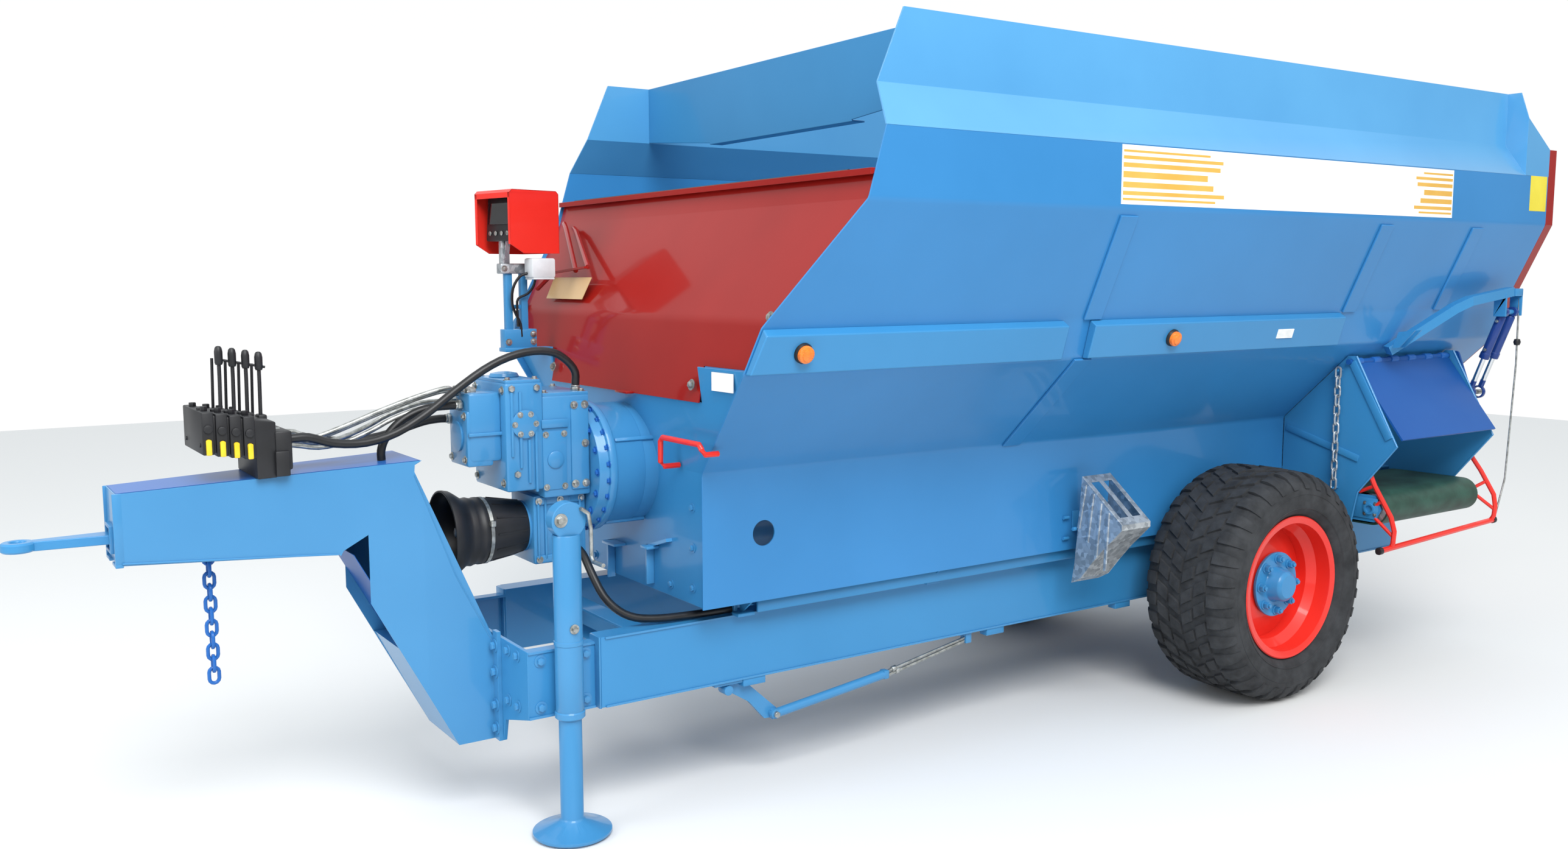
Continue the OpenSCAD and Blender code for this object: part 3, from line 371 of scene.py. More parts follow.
def moulded(name, deep, bright, rough, spots_mm, grain_mm, depth_mm, coat=0.0, ior=1.5):
    """Rubber, plastic, film or glass: its tone drifts in spots, and its skin has a grain.

    Grain under a millimetre is drawn at 3 to 5 mm, so that it shows.
    """
    material, shader = finish_named(name, bright, rough, coat=coat, ior=ior)
    tree = material.node_tree
    mottled(tree, shader, pattern(tree, spots_mm, 4), deep, bright, 0.3, 0.7)
    bumped(tree, shader, pattern(tree, grain_mm, 3), depth_mm)
    return material


def zinc_coat():
    """Hot-dip galvanised steel: grey crystals, half shiny."""
    material, shader = finish_named("zinc_coat", "#B4BABF", 0.45, metal=0.85)
    tree = material.node_tree
    coords = node(tree, "ShaderNodeTexCoord")
    crystal_mm = 18.18
    crystals = node(
        tree, "ShaderNodeTexVoronoi", {"Vector": coords.outputs["Object"], "Scale": 1000 / crystal_mm},
    )
    tone = node(tree, "ShaderNodeSeparateColor", {"Color": crystals.outputs["Color"]})
    ramp = node(tree, "ShaderNodeValToRGB", {"Fac": tone.outputs[0]})
    ramp.color_ramp.elements[0].color = linear("#9AA1A7")
    ramp.color_ramp.elements[1].color = linear("#D3D8DB")
    tree.links.new(ramp.outputs["Color"], shader.inputs["Base Color"])
    bumped(tree, shader, pattern(tree, 30, 3), 0.1)
    return material


def worn_steel():
    """Mild steel worn bright by feed, rolled: streaks and a little rust."""
    material, shader = finish_named("worn_steel", "#8D9093", 0.42, metal=0.9)
    tree = material.node_tree
    mottled(tree, shader, pattern(tree, 120, 6, (1, 4, 4)), "#6A6663", "#A9ACAE", 0.35, 0.7)
    bumped(tree, shader, pattern(tree, 12, 4), 0.1)
    return material


def hard_chrome():
    """Hard chrome on a ground rod: bright and even."""
    material, shader = finish_named("hard_chrome", "#D8DADC", 0.12, metal=1.0)
    tree = material.node_tree
    bumped(tree, shader, pattern(tree, 6, 2), 0.01)
    return material


def zinc_plate():
    """Zinc-plated bolts, turned: pale and half matt."""
    material, shader = finish_named("zinc_plate", "#A7A9A6", 0.38, metal=0.9)
    tree = material.node_tree
    mottled(tree, shader, pattern(tree, 20, 3), "#8F918D", "#BFC1BE")
    return material


def lamp_lens(name, deep, bright):
    """Moulded acrylic lens: clear colour, with ribs 5 mm apart, which a wave of scale 60 gives."""
    material, shader = finish_named(name, bright, 0.18, coat=0.4, ior=1.49)
    tree = material.node_tree
    mottled(tree, shader, pattern(tree, 25, 2), deep, bright)
    coords = node(tree, "ShaderNodeTexCoord")
    ribs = node(
        tree, "ShaderNodeTexWave", {"Vector": coords.outputs["Object"], "Scale": 60.0},
        bands_direction="Z",
    )
    bumped(tree, shader, ribs, 0.6)
    return material


# Carbon-black tyre rubber: dull, with dust in the grain
rubber = moulded("tyre_rubber", "#1E2023", "#36383B", 0.85, 60, 5, 0.35)
# Black polypropylene: satin, with fine grain
plastic = moulded("black_plastic", "#101114", "#1B1C20", 0.48, 80, 3, 0.05)
# Extruded hydraulic hose cover: black and slightly shiny
hose_cover = moulded("hose_rubber", "#0C0D0F", "#18191C", 0.42, 40, 3, 0.08)
# Calendered conveyor belting: dull green with a cloth grain
belting = moulded("belt_rubber", "#17352B", "#2C5548", 0.55, 90, 4, 0.15)
# Light grey ABS housing: satin
pale_plastic = moulded("pale_plastic", "#C0C3C6", "#D2D5D8", 0.45, 60, 3, 0.04)
# Yellow polythene caps: soft shine
yellow_cap = moulded("yellow_cap", "#DDBB18", "#F0D02C", 0.4, 25, 3, 0.04)
# Dark display glass with a film of dust
screen_glass = moulded("screen_glass", "#090B0E", "#13171C", 0.08, 45, 30, 0.01, 1.0, 1.52)
# Painted shade: black for the unlit inside of a cast port, which is black with oil too
painted_shade_black = moulded("painted_shade_black", "#050506", "#0C0C0D", 0.9, 30, 4, 0.1)
# Vinyl film: slightly shiny, a little uneven where it sits on the sheet
white_film = moulded("white_film", "#ECEAE3", "#F5F4EF", 0.3, 200, 150, 0.2)
ochre_film = moulded("ochre_film", "#D3A245", "#DFB158", 0.3, 200, 150, 0.2)
yellow_film = moulded("yellow_film", "#DAC832", "#E6D644", 0.3, 200, 150, 0.2)
tan_film = moulded("tan_film", "#C2A070", "#CFB083", 0.3, 200, 150, 0.2)
zinc = zinc_coat()
worn = worn_steel()
chrome = hard_chrome()
bolt_zinc = zinc_plate()
amber_lens = lamp_lens("amber_lens", "#E66F0C", "#F58420")
white_lens = lamp_lens("white_lens", "#E0E4E4", "#EEF1F1")


# Pieces
def piece(name, bm, material, body="chassis", stands_for=(), edge=0.0, smooth=32, sheet=0.0):
    """Makes the object. An open sheet comes with its faces outwards and gets its thickness inwards."""
    if not sheet:
        bmesh.ops.remove_doubles(bm, verts=bm.verts, dist=1e-6)
        bmesh.ops.recalc_face_normals(bm, faces=bm.faces)
    mesh = bpy.data.meshes.new(name)
    bm.to_mesh(mesh)
    bm.free()
    obj = bpy.data.objects.new(name, mesh)
    bpy.context.scene.collection.objects.link(obj)
    mesh.materials.append(material)
    mesh.polygons.foreach_set("use_smooth", [True] * len(mesh.polygons))
    mesh.set_sharp_from_angle(angle=math.radians(smooth))
    if sheet:
        wall = obj.modifiers.new("sheet", "SOLIDIFY")
        wall.thickness = sheet
        wall.offset = -1
        wall.use_even_offset = True
    if edge:
        bevel = obj.modifiers.new("edges", "BEVEL")
        bevel.width = edge
        bevel.segments = 2
        bevel.limit_method = "ANGLE"
        bevel.angle_limit = math.radians(60 if sheet else 40)
        bevel.harden_normals = True
    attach(obj, body)
    if stands_for:
        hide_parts(*stands_for)


def dressed(cad, material, body="chassis", edge=0.002):
    """A merged copy of a CAD solid with softened edges."""
    bm = bmesh.new()
    bm.from_mesh(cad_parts[cad].data)
    bmesh.ops.remove_doubles(bm, verts=bm.verts, dist=1e-5)
    bmesh.ops.dissolve_limit(bm, angle_limit=math.radians(0.6), verts=bm.verts, edges=bm.edges)
    piece(cad + "_painted", bm, material, body, (cad,), edge)


def hardware(name, items, material, body="chassis"):
    """Bolt heads of one finish in one mesh: place, axis, width across flats, height."""
    bm = bmesh.new()
    for place, axis, across, height in items:
        hexagon_head(bm, place, axis, across, height)
    piece(name, bm, material, body)


# Side walls: a sheet bent at each crease, open for the discharge on the left
WALL = [
    (0.54, 0.7), (0.54, 1.165), (0.912, 1.523), (0.949, 1.666), (1.1243, 2.058), (1.1243, 2.281),
    (1.025, 2.423), (1.025, 2.659),
]
FRONT_EDGE = [
    (2.66, 0.7), (2.66, 1.165), (2.728, 1.523), (2.685, 1.666), (2.412, 2.058), (2.345, 2.281),
    (2.304, 2.423), (2.201, 2.659),
]


# Discharge opening: its rear, its front and its top
OPENING = (-1.31, -0.51, 1.42)


def along_line(line, z):
    """Where a line of (place, z) is at a height."""
    for low, high in zip(line, line[1:]):
        if z <= high[1] + 1e-9:
            break
    return low[0] + (high[0] - low[0]) * (z - low[1]) / (high[1] - low[1])


def bent_sheet(bm, line, side, rear, bend=0.012):
    """Bends a sheet along x over the wall's outline, and trims its front to the wall's front edge."""
    chain = [bm.verts.new(at(rear, side * y, z)) for y, z in line]
    edges = [bm.edges.new(pair) for pair in zip(chain, chain[1:])]
    grown = bmesh.ops.extrude_edge_only(bm, edges=edges)["geom"]
    front = [v for v in grown if isinstance(v, bmesh.types.BMVert)]
    bmesh.ops.translate(bm, vec=(4.0, 0, 0), verts=front)
    creases = [
        e
        for e in bm.edges
        if len(e.link_faces) == 2 and abs(e.verts[0].co.x - e.verts[1].co.x) > 1
    ]
    bmesh.ops.bevel(bm, geom=creases, offset=bend, segments=4, affect="EDGES", profile=0.5, material=-1)
    for vert in bm.verts:
        if vert.co.x > AXLE + rear + 1:
            vert.co.x = AXLE + along_line(FRONT_EDGE, min(max(vert.co.z, line[0][1]), line[-1][1]))


def side_wall(side, name):
    bm = bmesh.new()
    bent_sheet(bm, WALL[:6], side, -1.635)
    if side == LEFT:
        rear, front, top = OPENING
        for place, normal in (
            (at(rear, 0, 0), AHEAD), (at(front, 0, 0), AHEAD), (at(0, 0, top), UPRIGHT),
        ):
            bmesh.ops.bisect_plane(
                bm, geom=bm.verts[:] + bm.edges[:] + bm.faces[:], plane_co=place, plane_no=normal,
            )
        middles = [(f, f.calc_center_median()) for f in bm.faces]
        gone = [f for f, middle in middles if rear < middle.x - AXLE < front and middle.z < top]
        bmesh.ops.delete(bm, geom=gone, context="FACES")
        punched(bm, at(2.413, 0.54, 0.94), 0.045, 0.075)
    bmesh.ops.recalc_face_normals(bm, faces=bm.faces)
    outward = sum((f.normal.y * f.calc_area() for f in bm.faces)) * side
    if outward < 0:
        bmesh.ops.reverse_faces(bm, faces=bm.faces)
    # The wall sheet takes the darker copy of the blue paint: painted shade
    piece(
        name + "_sheet", bm, painted_shade_wall_enamel, stands_for=(name,), edge=0.0012, smooth=25,
        sheet=0.006,
    )


side_wall(LEFT, "side_wall_left")
side_wall(RIGHT, "side_wall_right")

for material, slot, names in (
    # Extensions in the paler copy of the blue paint: painted sheen
    (painted_sheen_blue_enamel, "paint_blue", ("extension_left", "extension_right")),
    (
        blue_enamel, "paint_blue",
        ("cross_wall", "trough", "frame", "axle", "discharge_housing", "discharge_arm", "conveyor_frame"),
    ),
    (cast_blue_enamel, "paint_blue", ("drawbar", "jack_foot")),
    (red_enamel, "paint_red", ("front_wall", "rear_wall")),
    (bright_red_enamel, "paint_red", ("conveyor_guard", "front_handle")),
):
    for name in names:
        dressed(name, material)
dressed("auger", worn, "auger", edge=0.0)
# The flap takes the darkest copy of the blue paint: painted shade from the body above it
dressed("discharge_flap", painted_shade_blue_enamel, "flap")


# Rails and ribs on the side walls
RAIL = [(0.912, 1.523), (0.944, 1.523), (0.981, 1.644), (0.949, 1.666)]
RIBS = (1.25, -0.34, -1.05)
RIB_HALF = 0.045
RIB_TALL = 0.01


def offset_line(a, b, distance):
    """Moves a line of (y, z) outwards, to the right of its way up."""
    along = Vector((b[0] - a[0], b[1] - a[1])).normalized()
    out = Vector((along.y, -along.x)) * distance
    return [(a[0] + out.x, a[1] + out.y), (b[0] + out.x, b[1] + out.y)]


def rails(side, name):
    bm = bmesh.new()
    for rear, front in ((-0.29, 1.255), (1.39, 2.72)):
        prism_x(bm, RAIL, rear, front, side)
    for vert in bm.verts:
        if vert.co.x > AXLE + 2.7:
            vert.co.x = AXLE + along_line(FRONT_EDGE, vert.co.z) - 0.004
    piece(name + "_ledges", bm, blue_enamel, stands_for=(name,), edge=0.005)
    bm = bmesh.new()
    flare = (Vector(WALL[4]) - Vector(WALL[3])).normalized()
    upper = [tuple(Vector(WALL[3]) + flare * 0.002), tuple(Vector(WALL[4]) - flare * 0.025)]
    for x in RIBS:
        prism_x(bm, upper + offset_line(*upper, RIB_TALL)[::-1], x - RIB_HALF, x + RIB_HALF, side)
    lower = [WALL[1], WALL[2]]
    prism_x(bm, lower + offset_line(*lower, RIB_TALL)[::-1], RIBS[0] - RIB_HALF, RIBS[0] + RIB_HALF, side)
    # Ribs in the wall's darker copy of the blue paint: painted shade
    piece(name + "_ribs", bm, painted_shade_wall_enamel, edge=0.003)


rails(LEFT, "rail_left")
rails(RIGHT, "rail_right")


# Marker lamps: amber lens in a black bezel, and a white reflector on the rail
LAMP_Z = 1.59


def marker_lamps():
    lens = bmesh.new()
    base = bmesh.new()
    for side in (LEFT, RIGHT):
        for x in (2.543, 0.818):
            seat = along_line(RAIL[1:3], LAMP_Z)
            axis = Vector((0, side, -0.28)).normalized()
            place = at(x, side * (seat - 0.006), LAMP_Z)
            lathe(
                base, [(0.0001, 0), (0.0335, 0), (0.0335, 0.012), (0.03, 0.018), (0.0001, 0.018)], place,
                axis, 36,
            )
            lathe(
                lens,
                [
                    (0.0001, 0.017), (0.0285, 0.017), (0.0285, 0.026), (0.027, 0.03), (0.0195, 0.033),
                    (0.0185, 0.036), (0.011, 0.038), (0.0001, 0.0385),
                ],
                place, axis, 36,
            )
    piece("lamp_lenses", lens, amber_lens, stands_for=("marker_lamps",), smooth=40)
    piece("lamp_bezels", base, plastic)
    bm = bmesh.new()
    bar(bm, at(0.06, 0.9635, 1.585), at(0.165, 0.9635, 1.585), 0.006, 0.04, up=(0, 0.292, 0.956))
    piece("reflector", bm, white_lens, edge=0.002)


marker_lamps()


# Banner: rear and front end, then each stripe's lower and upper edge
BANNER = (-0.816, 1.304)
STRIPES = (
    (2.086, 2.094), (2.104, 2.118), (2.13, 2.15), (2.164, 2.186), (2.2, 2.216), (2.228, 2.24),
    (2.252, 2.26),
)
FILM_Y = 1.124


# Film with its stripes, and bare plates
def films():
    bm = bmesh.new()
    rear, front = BANNER
    slab(bm, at(rear, FILM_Y, 2.072), at(front, FILM_Y + 0.0007, 2.277))
    piece("banner_film", bm, white_film)
    bm = bmesh.new()
    for k, (low, high) in enumerate(STRIPES):
        reach = 0.34 + 0.05 * math.sin(k * 1.7)
        slab(bm, at(front - 0.168 - reach, 1.1245, low), at(front - 0.008, 1.125, high))
        slab(bm, at(rear + 0.008, 1.1245, low), at(rear + 0.008 + reach * 0.75, 1.125, high))
    piece("banner_stripes", bm, ochre_film)
    bm = bmesh.new()
    slab(bm, at(-1.625, FILM_Y, 2.12), at(-1.475, FILM_Y + 0.0009, 2.285))
    piece("rear_film", bm, yellow_film, edge=0.0003)
    bm = bmesh.new()
    slab(bm, at(2.698, 0.677, 1.46), at(2.702, 0.806, 1.52))
    piece("white_plate", bm, white_film, edge=0.0006)


films()


# Tow eye: a forged ring that runs out into its flat shank
def tow_eye():
    bm = bmesh.new()
    centre = at(4.614, 0, 1.06)
    lathe(
        bm,
        [
            (0.0205, -0.01), (0.0235, -0.015), (0.04, -0.015), (0.0455, -0.009), (0.046, 0),
            (0.0455, 0.009), (0.04, 0.015), (0.0235, 0.015), (0.0205, 0.01),
        ],
        centre, UPRIGHT, 48,
    )
    plate(
        bm,
        [
            at(4.58, 0.02, 1.046), at(4.4, 0.036, 1.046), at(4.37, 0.038, 1.046), at(4.37, -0.038, 1.046),
            at(4.4, -0.036, 1.046), at(4.58, -0.02, 1.046),
        ],
        (0, 0, 0.028),
    )
    slab(bm, at(4.215, -0.028, 1.032), at(4.372, 0.028, 1.088), 0.004)
    piece("tow_eye_forging", bm, blue_enamel, stands_for=("tow_eye",), edge=0.003)


tow_eye()


def safety_chain():
    bm = bmesh.new()
    hanging_chain(bm, at(4.11, 0, 0.9955), 11, 0.0377, 0.0058)
    piece("safety_chain_links", bm, deep_blue_enamel, stands_for=("safety_chain",))


def hold_chain():
    bm = bmesh.new()
    hanging_chain(bm, at(-0.48, 0.83, 1.415), 13, 0.0417, 0.0049, 1)
    piece("hold_chain_links", bm, zinc, stands_for=("hold_chain",))


safety_chain()
hold_chain()


# Wheels: block tread on a spun casing, a dished rim and a hub with its nuts
TREAD_PITCHES = 34


def wheel_place(side, r, along, angle):
    return at(r * math.cos(angle), side * (WHEEL_Y + along), AXLE_Z + r * math.sin(angle))


def tyre(side, name):
    bm = bmesh.new()
    centre = at(0, side * WHEEL_Y, AXLE_Z)
    half = [
        (0.286, 0.15), (0.286, 0.178), (0.312, 0.1785), (0.322, 0.196), (0.345, 0.21), (0.385, 0.2195),
        (0.42, 0.2185), (0.452, 0.205), (0.474, 0.18), (0.485, 0.13), (0.489, 0.06), (0.49, 0.0),
    ]
    inside = [(0.452, 0.1), (0.43, 0.175), (0.385, 0.19), (0.345, 0.18)]
    outer = half + [(r, -a) for r, a in reversed(half[:-1])]
    inner = [(r, -a) for r, a in reversed(inside)] + inside
    lathe(bm, outer + inner, centre, (0, side, 0), 96)
    # Rows of blocks: edges across the tread, how far the row is turned, and how full it is
    step = math.tau / TREAD_PITCHES
    rows = (
        (0.004, 0.058, 0.0, 0.6), (-0.058, -0.004, 0.5, 0.6), (0.066, 0.122, 0.5, 0.62),
        (-0.122, -0.066, 0.0, 0.62),
    )
    for low, high, lag, fill in rows:
        middle = (low + high) / 2
        lean = step * math.copysign(0.16, middle)
        foot, peak = (0.486, 0.4965) if abs(middle) > 0.06 else (0.488, 0.4995)
        for i in range(TREAD_PITCHES):
            rings = []
            for r, full in ((foot, 1.0), (peak, 0.9)):
                ring = []
                for along, turn in ((low, -1), (high, -1), (high, 1), (low, 1)):
                    drift = lean if along == high else -lean
                    angle = (i + lag) * step + drift + turn * step * fill * full / 2
                    ring.append(wheel_place(side, r, middle + (along - middle) * full, angle))
                rings.append(ring)
            swept(bm, rings)
    # Bars that run down the shoulders: crown, root and width at each step
    crown = [(0.4955, 0.13), (0.4935, 0.16), (0.478, 0.19), (0.452, 0.2115), (0.43, 0.2195)]
    root = [(0.48, 0.128), (0.478, 0.158), (0.464, 0.18), (0.444, 0.198), (0.428, 0.205)]
    wide = [0.62, 0.62, 0.58, 0.52, 0.4]
    for flank, lag in ((1, 0.0), (-1, 0.5)):
        for i in range(TREAD_PITCHES):
            rings = []
            for (r, a), (r0, a0), w in zip(crown, root, wide):
                turn = step * w / 2
                corners = ((r, a, -0.92), (r, a, 0.92), (r0, a0, 1), (r0, a0, -1))
                ring = []
                for far, along, part in corners:
                    ring.append(wheel_place(side, far, flank * along, (i + lag) * step + turn * part))
                rings.append(ring)
            swept(bm, rings)
    # Rings on the sidewall
    for r, along in ((0.345, 0.2112), (0.405, 0.2196)):
        for flank in (1, -1):
            rise = [(r - 0.004, along - 0.003), (r, along + 0.0012), (r + 0.004, along - 0.003)]
            lathe(bm, [(far, flank * a) for far, a in rise], centre, (0, side, 0), 96)
    piece(name + "_tread", bm, rubber, "wheel_" + name[5:], (name,), smooth=38)


def rim(side, name):
    bm = bmesh.new()
    well = [
        (0.308, 0.18), (0.2857, 0.178), (0.2855, 0.118), (0.2558, 0.088), (0.2558, -0.088),
        (0.2855, -0.118), (0.2857, -0.178), (0.308, -0.18), (0.3085, -0.187), (0.304, -0.1905),
        (0.296, -0.189), (0.277, -0.184), (0.274, -0.12), (0.244, -0.088), (0.2438, 0.029), (0.21, 0.04),
        (0.16, 0.066), (0.12, 0.08), (0.0953, 0.083), (0.0953, 0.096), (0.125, 0.093), (0.165, 0.079),
        (0.213, 0.054), (0.244, 0.044), (0.244, 0.088), (0.274, 0.12), (0.277, 0.184), (0.296, 0.189),
        (0.304, 0.1905), (0.3085, 0.187),
    ]
    lathe(bm, well, at(0, side * WHEEL_Y, AXLE_Z), (0, side, 0), 96)
    piece(name + "_dish", bm, bright_red_enamel, "wheel_" + name[4:], (name,), smooth=30)


def hub(side, name):
    bm = bmesh.new()
    centre = at(0, side * WHEEL_Y, AXLE_Z)
    axis = Vector((0, side, 0))
    lathe(
        bm,
        [
            (0.0323, 0.042), (0.085, 0.042), (0.095, 0.052), (0.095, 0.098), (0.139, 0.098), (0.14, 0.1),
            (0.14, 0.11), (0.138, 0.112), (0.078, 0.112), (0.073, 0.118), (0.066, 0.158), (0.062, 0.165),
            (0.05, 0.173), (0.0001, 0.174), (0.0001, 0.15), (0.0323, 0.15),
        ],
        centre, axis, 64,
    )
    for a in turns(8):
        place = Vector(wheel_place(side, 0.113, 0.111, a))
        rod(bm, place, place + axis * 0.006, 0.021, 20, edge=0.002)
        rod(bm, place + axis * 0.006, place + axis * 0.026, 0.0162, 6, edge=0.003)
        rod(bm, place + axis * 0.026, place + axis * 0.034, 0.009, 16, edge=0.001)
    piece(name + "_casting", bm, blue_enamel, "wheel_" + name[4:], (name,), smooth=30)


for side, word in ((LEFT, "left"), (RIGHT, "right")):
    tyre(side, "tyre_" + word)
    rim(side, "rim_" + word)
    hub(side, "hub_" + word)


# Drawbar: top plate and set-back web in darker paint as painted shade, flanges with their bolts
def drawbar_trim():
    bm = bmesh.new()
    plate(
        bm,
        [
            at(4.366, 0.094, 1.2025), at(3.484, 0.144, 1.2352), at(3.484, -0.144, 1.2352),
            at(4.366, -0.094, 1.2025),
        ],
        (0, 0, 0.0012),
    )
    # The top plate's darker paint is painted shade
    piece("drawbar_top_painted_shade", bm, deep_blue_enamel)
    bm = bmesh.new()
    plate(
        bm,
        [
            at(3.705, 0.1395, 0.95), at(3.35, 0.1395, 0.292), at(3.35, -0.1395, 0.292),
            at(3.705, -0.1395, 0.95),
        ],
        Vector((0.88, 0, -0.475)) * 0.002,
    )
    # The web's darkest paint is painted shade in its recess
    piece("leg_web_painted_shade", bm, painted_shade_blue_enamel)
    # Front plate with a collar round the eye's shank, and a folded lip at each end of the box
    bm = bmesh.new()
    for side in (LEFT, RIGHT):
        slab(bm, at(4.352, side * 0.097 - 0.004, 0.99), at(4.378, side * 0.097 + 0.004, 1.203), 0.002)
        slab(bm, at(4.356, side * 0.066 - 0.036, 0.984), at(4.378, side * 0.066 + 0.036, 0.994), 0.002)
    for low, high in ((1.018, 1.028), (1.092, 1.102)):
        slab(bm, at(4.366, -0.046, low), at(4.384, 0.046, high), 0.003)
    for side in (LEFT, RIGHT):
        slab(bm, at(4.366, side * 0.044 - 0.005, 1.018), at(4.384, side * 0.044 + 0.005, 1.102), 0.003)
    piece("drawbar_front", bm, cast_blue_enamel)
    # Bend line down the leg's side and the weld round the box
    bm = bmesh.new()
    for side in (LEFT, RIGHT):
        y = side * 0.1505
        pipe(bm, [at(3.258, y, 0.6), at(3.38, y, 0.846), at(3.505, y, 1.19)], 0.0022, 6)
        pipe(
            bm,
            [
                at(4.36, side * 0.1025, 0.996), at(3.9, side * 0.128, 0.967),
                at(3.752, side * 0.136, 0.957),
            ],
            0.003, 6,
        )
    piece("drawbar_welds", bm, cast_blue_enamel)
    items = []
    for side in (LEFT, RIGHT):
        items += [(at(3.2585, side * 0.172, z), AHEAD, 0.024, 0.016) for z in (0.305, 0.385, 0.5, 0.59)]
        for z in (0.42, 0.59):
            items.append((at(3.2445, side * 0.33, z), AHEAD, 0.022, 0.014))
            items.append((at(3.2445, side * 0.25, z), AHEAD, 0.022, 0.014))
        items += [
            (at(x, side * 0.4121, z), (0, side, 0), 0.022, 0.013)
            for x, z in ((3.04, 0.43), (3.04, 0.585), (3.2, 0.43), (3.2, 0.585))
        ]
    hardware("leg_bolts", items, cast_blue_enamel)


drawbar_trim()


# Frame: flange lips, cap plates and the brackets under the beam
def frame_trim():
    bm = bmesh.new()
    for side in (LEFT, RIGHT):
        for z in (0.4035, 0.6365):
            bar(bm, at(-1.6, side * 0.4515, z), at(2.985, side * 0.4515, z), 0.007, 0.007)
        # Cap plate where the beam ends, and the bent lip of the head's channel
        slab(bm, at(2.998, side * 0.411 - 0.036, 0.3965), at(3.006, side * 0.411 + 0.036, 0.64), 0.002)
        for z in (0.3985, 0.6155):
            bar(bm, at(3.004, side * 0.4135, z), at(3.242, side * 0.4135, z), 0.006, 0.008)
    piece("beam_lips", bm, cast_blue_enamel)
    bm = bmesh.new()
    for x in (2.35, 1.18, 0.42):
        for side in (LEFT, RIGHT):
            slab(bm, at(x, side * 0.43 - 0.022, 0.372), at(x + 0.095, side * 0.43 + 0.022, 0.402), 0.003)
    # Carrier along the beam and foot plates under the trough's skirt
    for side in (LEFT, RIGHT):
        slab(bm, at(-1.45, side * 0.505 - 0.005, 0.652), at(2.42, side * 0.505 + 0.005, 0.7005), 0.001)
    for x in (2.42, 1.56, 0.64):
        for side in (LEFT, RIGHT):
            slab(bm, at(x, side * 0.47 - 0.022, 0.64), at(x + 0.07, side * 0.47 + 0.022, 0.652), 0.002)
            plate(
                bm,
                [
                    at(x + 0.031, side * 0.452, 0.64), at(x + 0.031, side * 0.536, 0.704),
                    at(x + 0.031, side * 0.452, 0.704),
                ],
                (0.008, 0, 0),
            )
    piece("beam_brackets", bm, blue_enamel, edge=0.0015)
    # Angle irons on the trough's front plate that hold the hoses
    bm = bmesh.new()
    for y, high, low, arm in ((-0.14, 0.834, 0.69, 0.05), (0.17, 0.868, 0.723, 0.0)):
        slab(bm, at(2.6485, y - 0.006, low), at(2.6785, y + 0.006, high), 0.002)
        slab(bm, at(2.6485, y - 0.006, high - 0.01), at(2.6985, y + 0.045 + arm, high), 0.002)
    bar(bm, at(2.66, 0.17, 0.862), at(2.66, 0.308, 0.905), 0.024, 0.012)
    # Angle irons in the paler copy of the blue paint: painted sheen
    piece("hose_angles", bm, painted_sheen_blue_enamel)
    items = []
    for y, z in (
        (0.455, 0.76), (0.455, 0.9), (0.455, 1.04), (0.3, 0.745), (-0.3, 0.745), (-0.455, 0.76),
        (-0.455, 0.9), (-0.455, 1.04),
    ):
        items.append((at(2.6485, y, z), AHEAD, 0.018, 0.01))
    items += [(at(x, 0.47, 0.652), UPRIGHT, 0.018, 0.01) for x in (2.3, 1.0, -0.2)]
    hardware("frame_bolts", items, cast_blue_enamel)


frame_trim()


# Parking jack: outer tube and round head with its pin
def jack():
    bm = bmesh.new()
    x, y = 3.12, 0.46
    lathe(
        bm,
        [
            (0.0382, 0.395), (0.044, 0.395), (0.046, 0.399), (0.046, 0.56), (0.046, 0.999),
            (0.0442, 1.003), (0.0382, 1.003),
        ],
        at(x, y, 0), UPRIGHT, 40,
    )
    lathe(
        bm,
        [
            (0.0001, -0.026), (0.0575, -0.026), (0.06, -0.023), (0.06, 0.023), (0.0575, 0.026),
            (0.0001, 0.026),
        ],
        at(x, y, 1.05), ACROSS, 40,
    )
    for z in (0.43, 0.57):
        slab(bm, at(x - 0.03, 0.412, z), at(x + 0.03, 0.424, z + 0.02), 0.002)
    lathe(
        bm, [(0.0462, 0.0), (0.0485, 0.002), (0.0485, 0.014), (0.0462, 0.016)], at(x, y, 0.64), UPRIGHT,
        40,
    )
    lathe(
        bm, [(0.0462, 0.0), (0.0495, 0.003), (0.0495, 0.02), (0.0462, 0.024)], at(x, y, 0.397), UPRIGHT,
        40,
    )
    piece("jack_outer", bm, cast_blue_enamel, stands_for=("jack_tube",))
    items = [
        (at(x + 0.03, y + 0.0262, 1.054), ACROSS, 0.024, 0.012),
        (at(x, y + 0.0462, 0.7), ACROSS, 0.017, 0.014),
    ]
    for a in turns(4, 0.5):
        place = at(x + 0.082 * math.cos(a), y + 0.082 * math.sin(a), 0.0235)
        items.append((place, UPRIGHT, 0.016, 0.006))
    hardware("jack_bolts", items, bolt_zinc)
    # Folded crank against the head
    bm = bmesh.new()
    pipe(
        bm,
        [
            at(x - 0.04, 0.484, 1.085), at(x - 0.04, 0.498, 1.085), at(x - 0.058, 0.504, 1.07),
            at(x - 0.066, 0.504, 1.02), at(x - 0.066, 0.504, 0.93), at(x - 0.066, 0.52, 0.915),
            at(x - 0.066, 0.59, 0.915),
        ],
        0.007, 12,
    )
    piece("jack_crank", bm, bolt_zinc)


jack()


# Valve block: four sections one behind the other, with levers, caps and steel pipes to the gearbox
VALVE_FRONT = 3.985
VALVE_PITCH = 0.0385


def valve_section(k):
    """A section's middle and the height that its block starts from."""
    x = VALVE_FRONT + VALVE_PITCH * (k + 0.5)
    return x, 1.24 + 0.17 * (x - VALVE_FRONT)


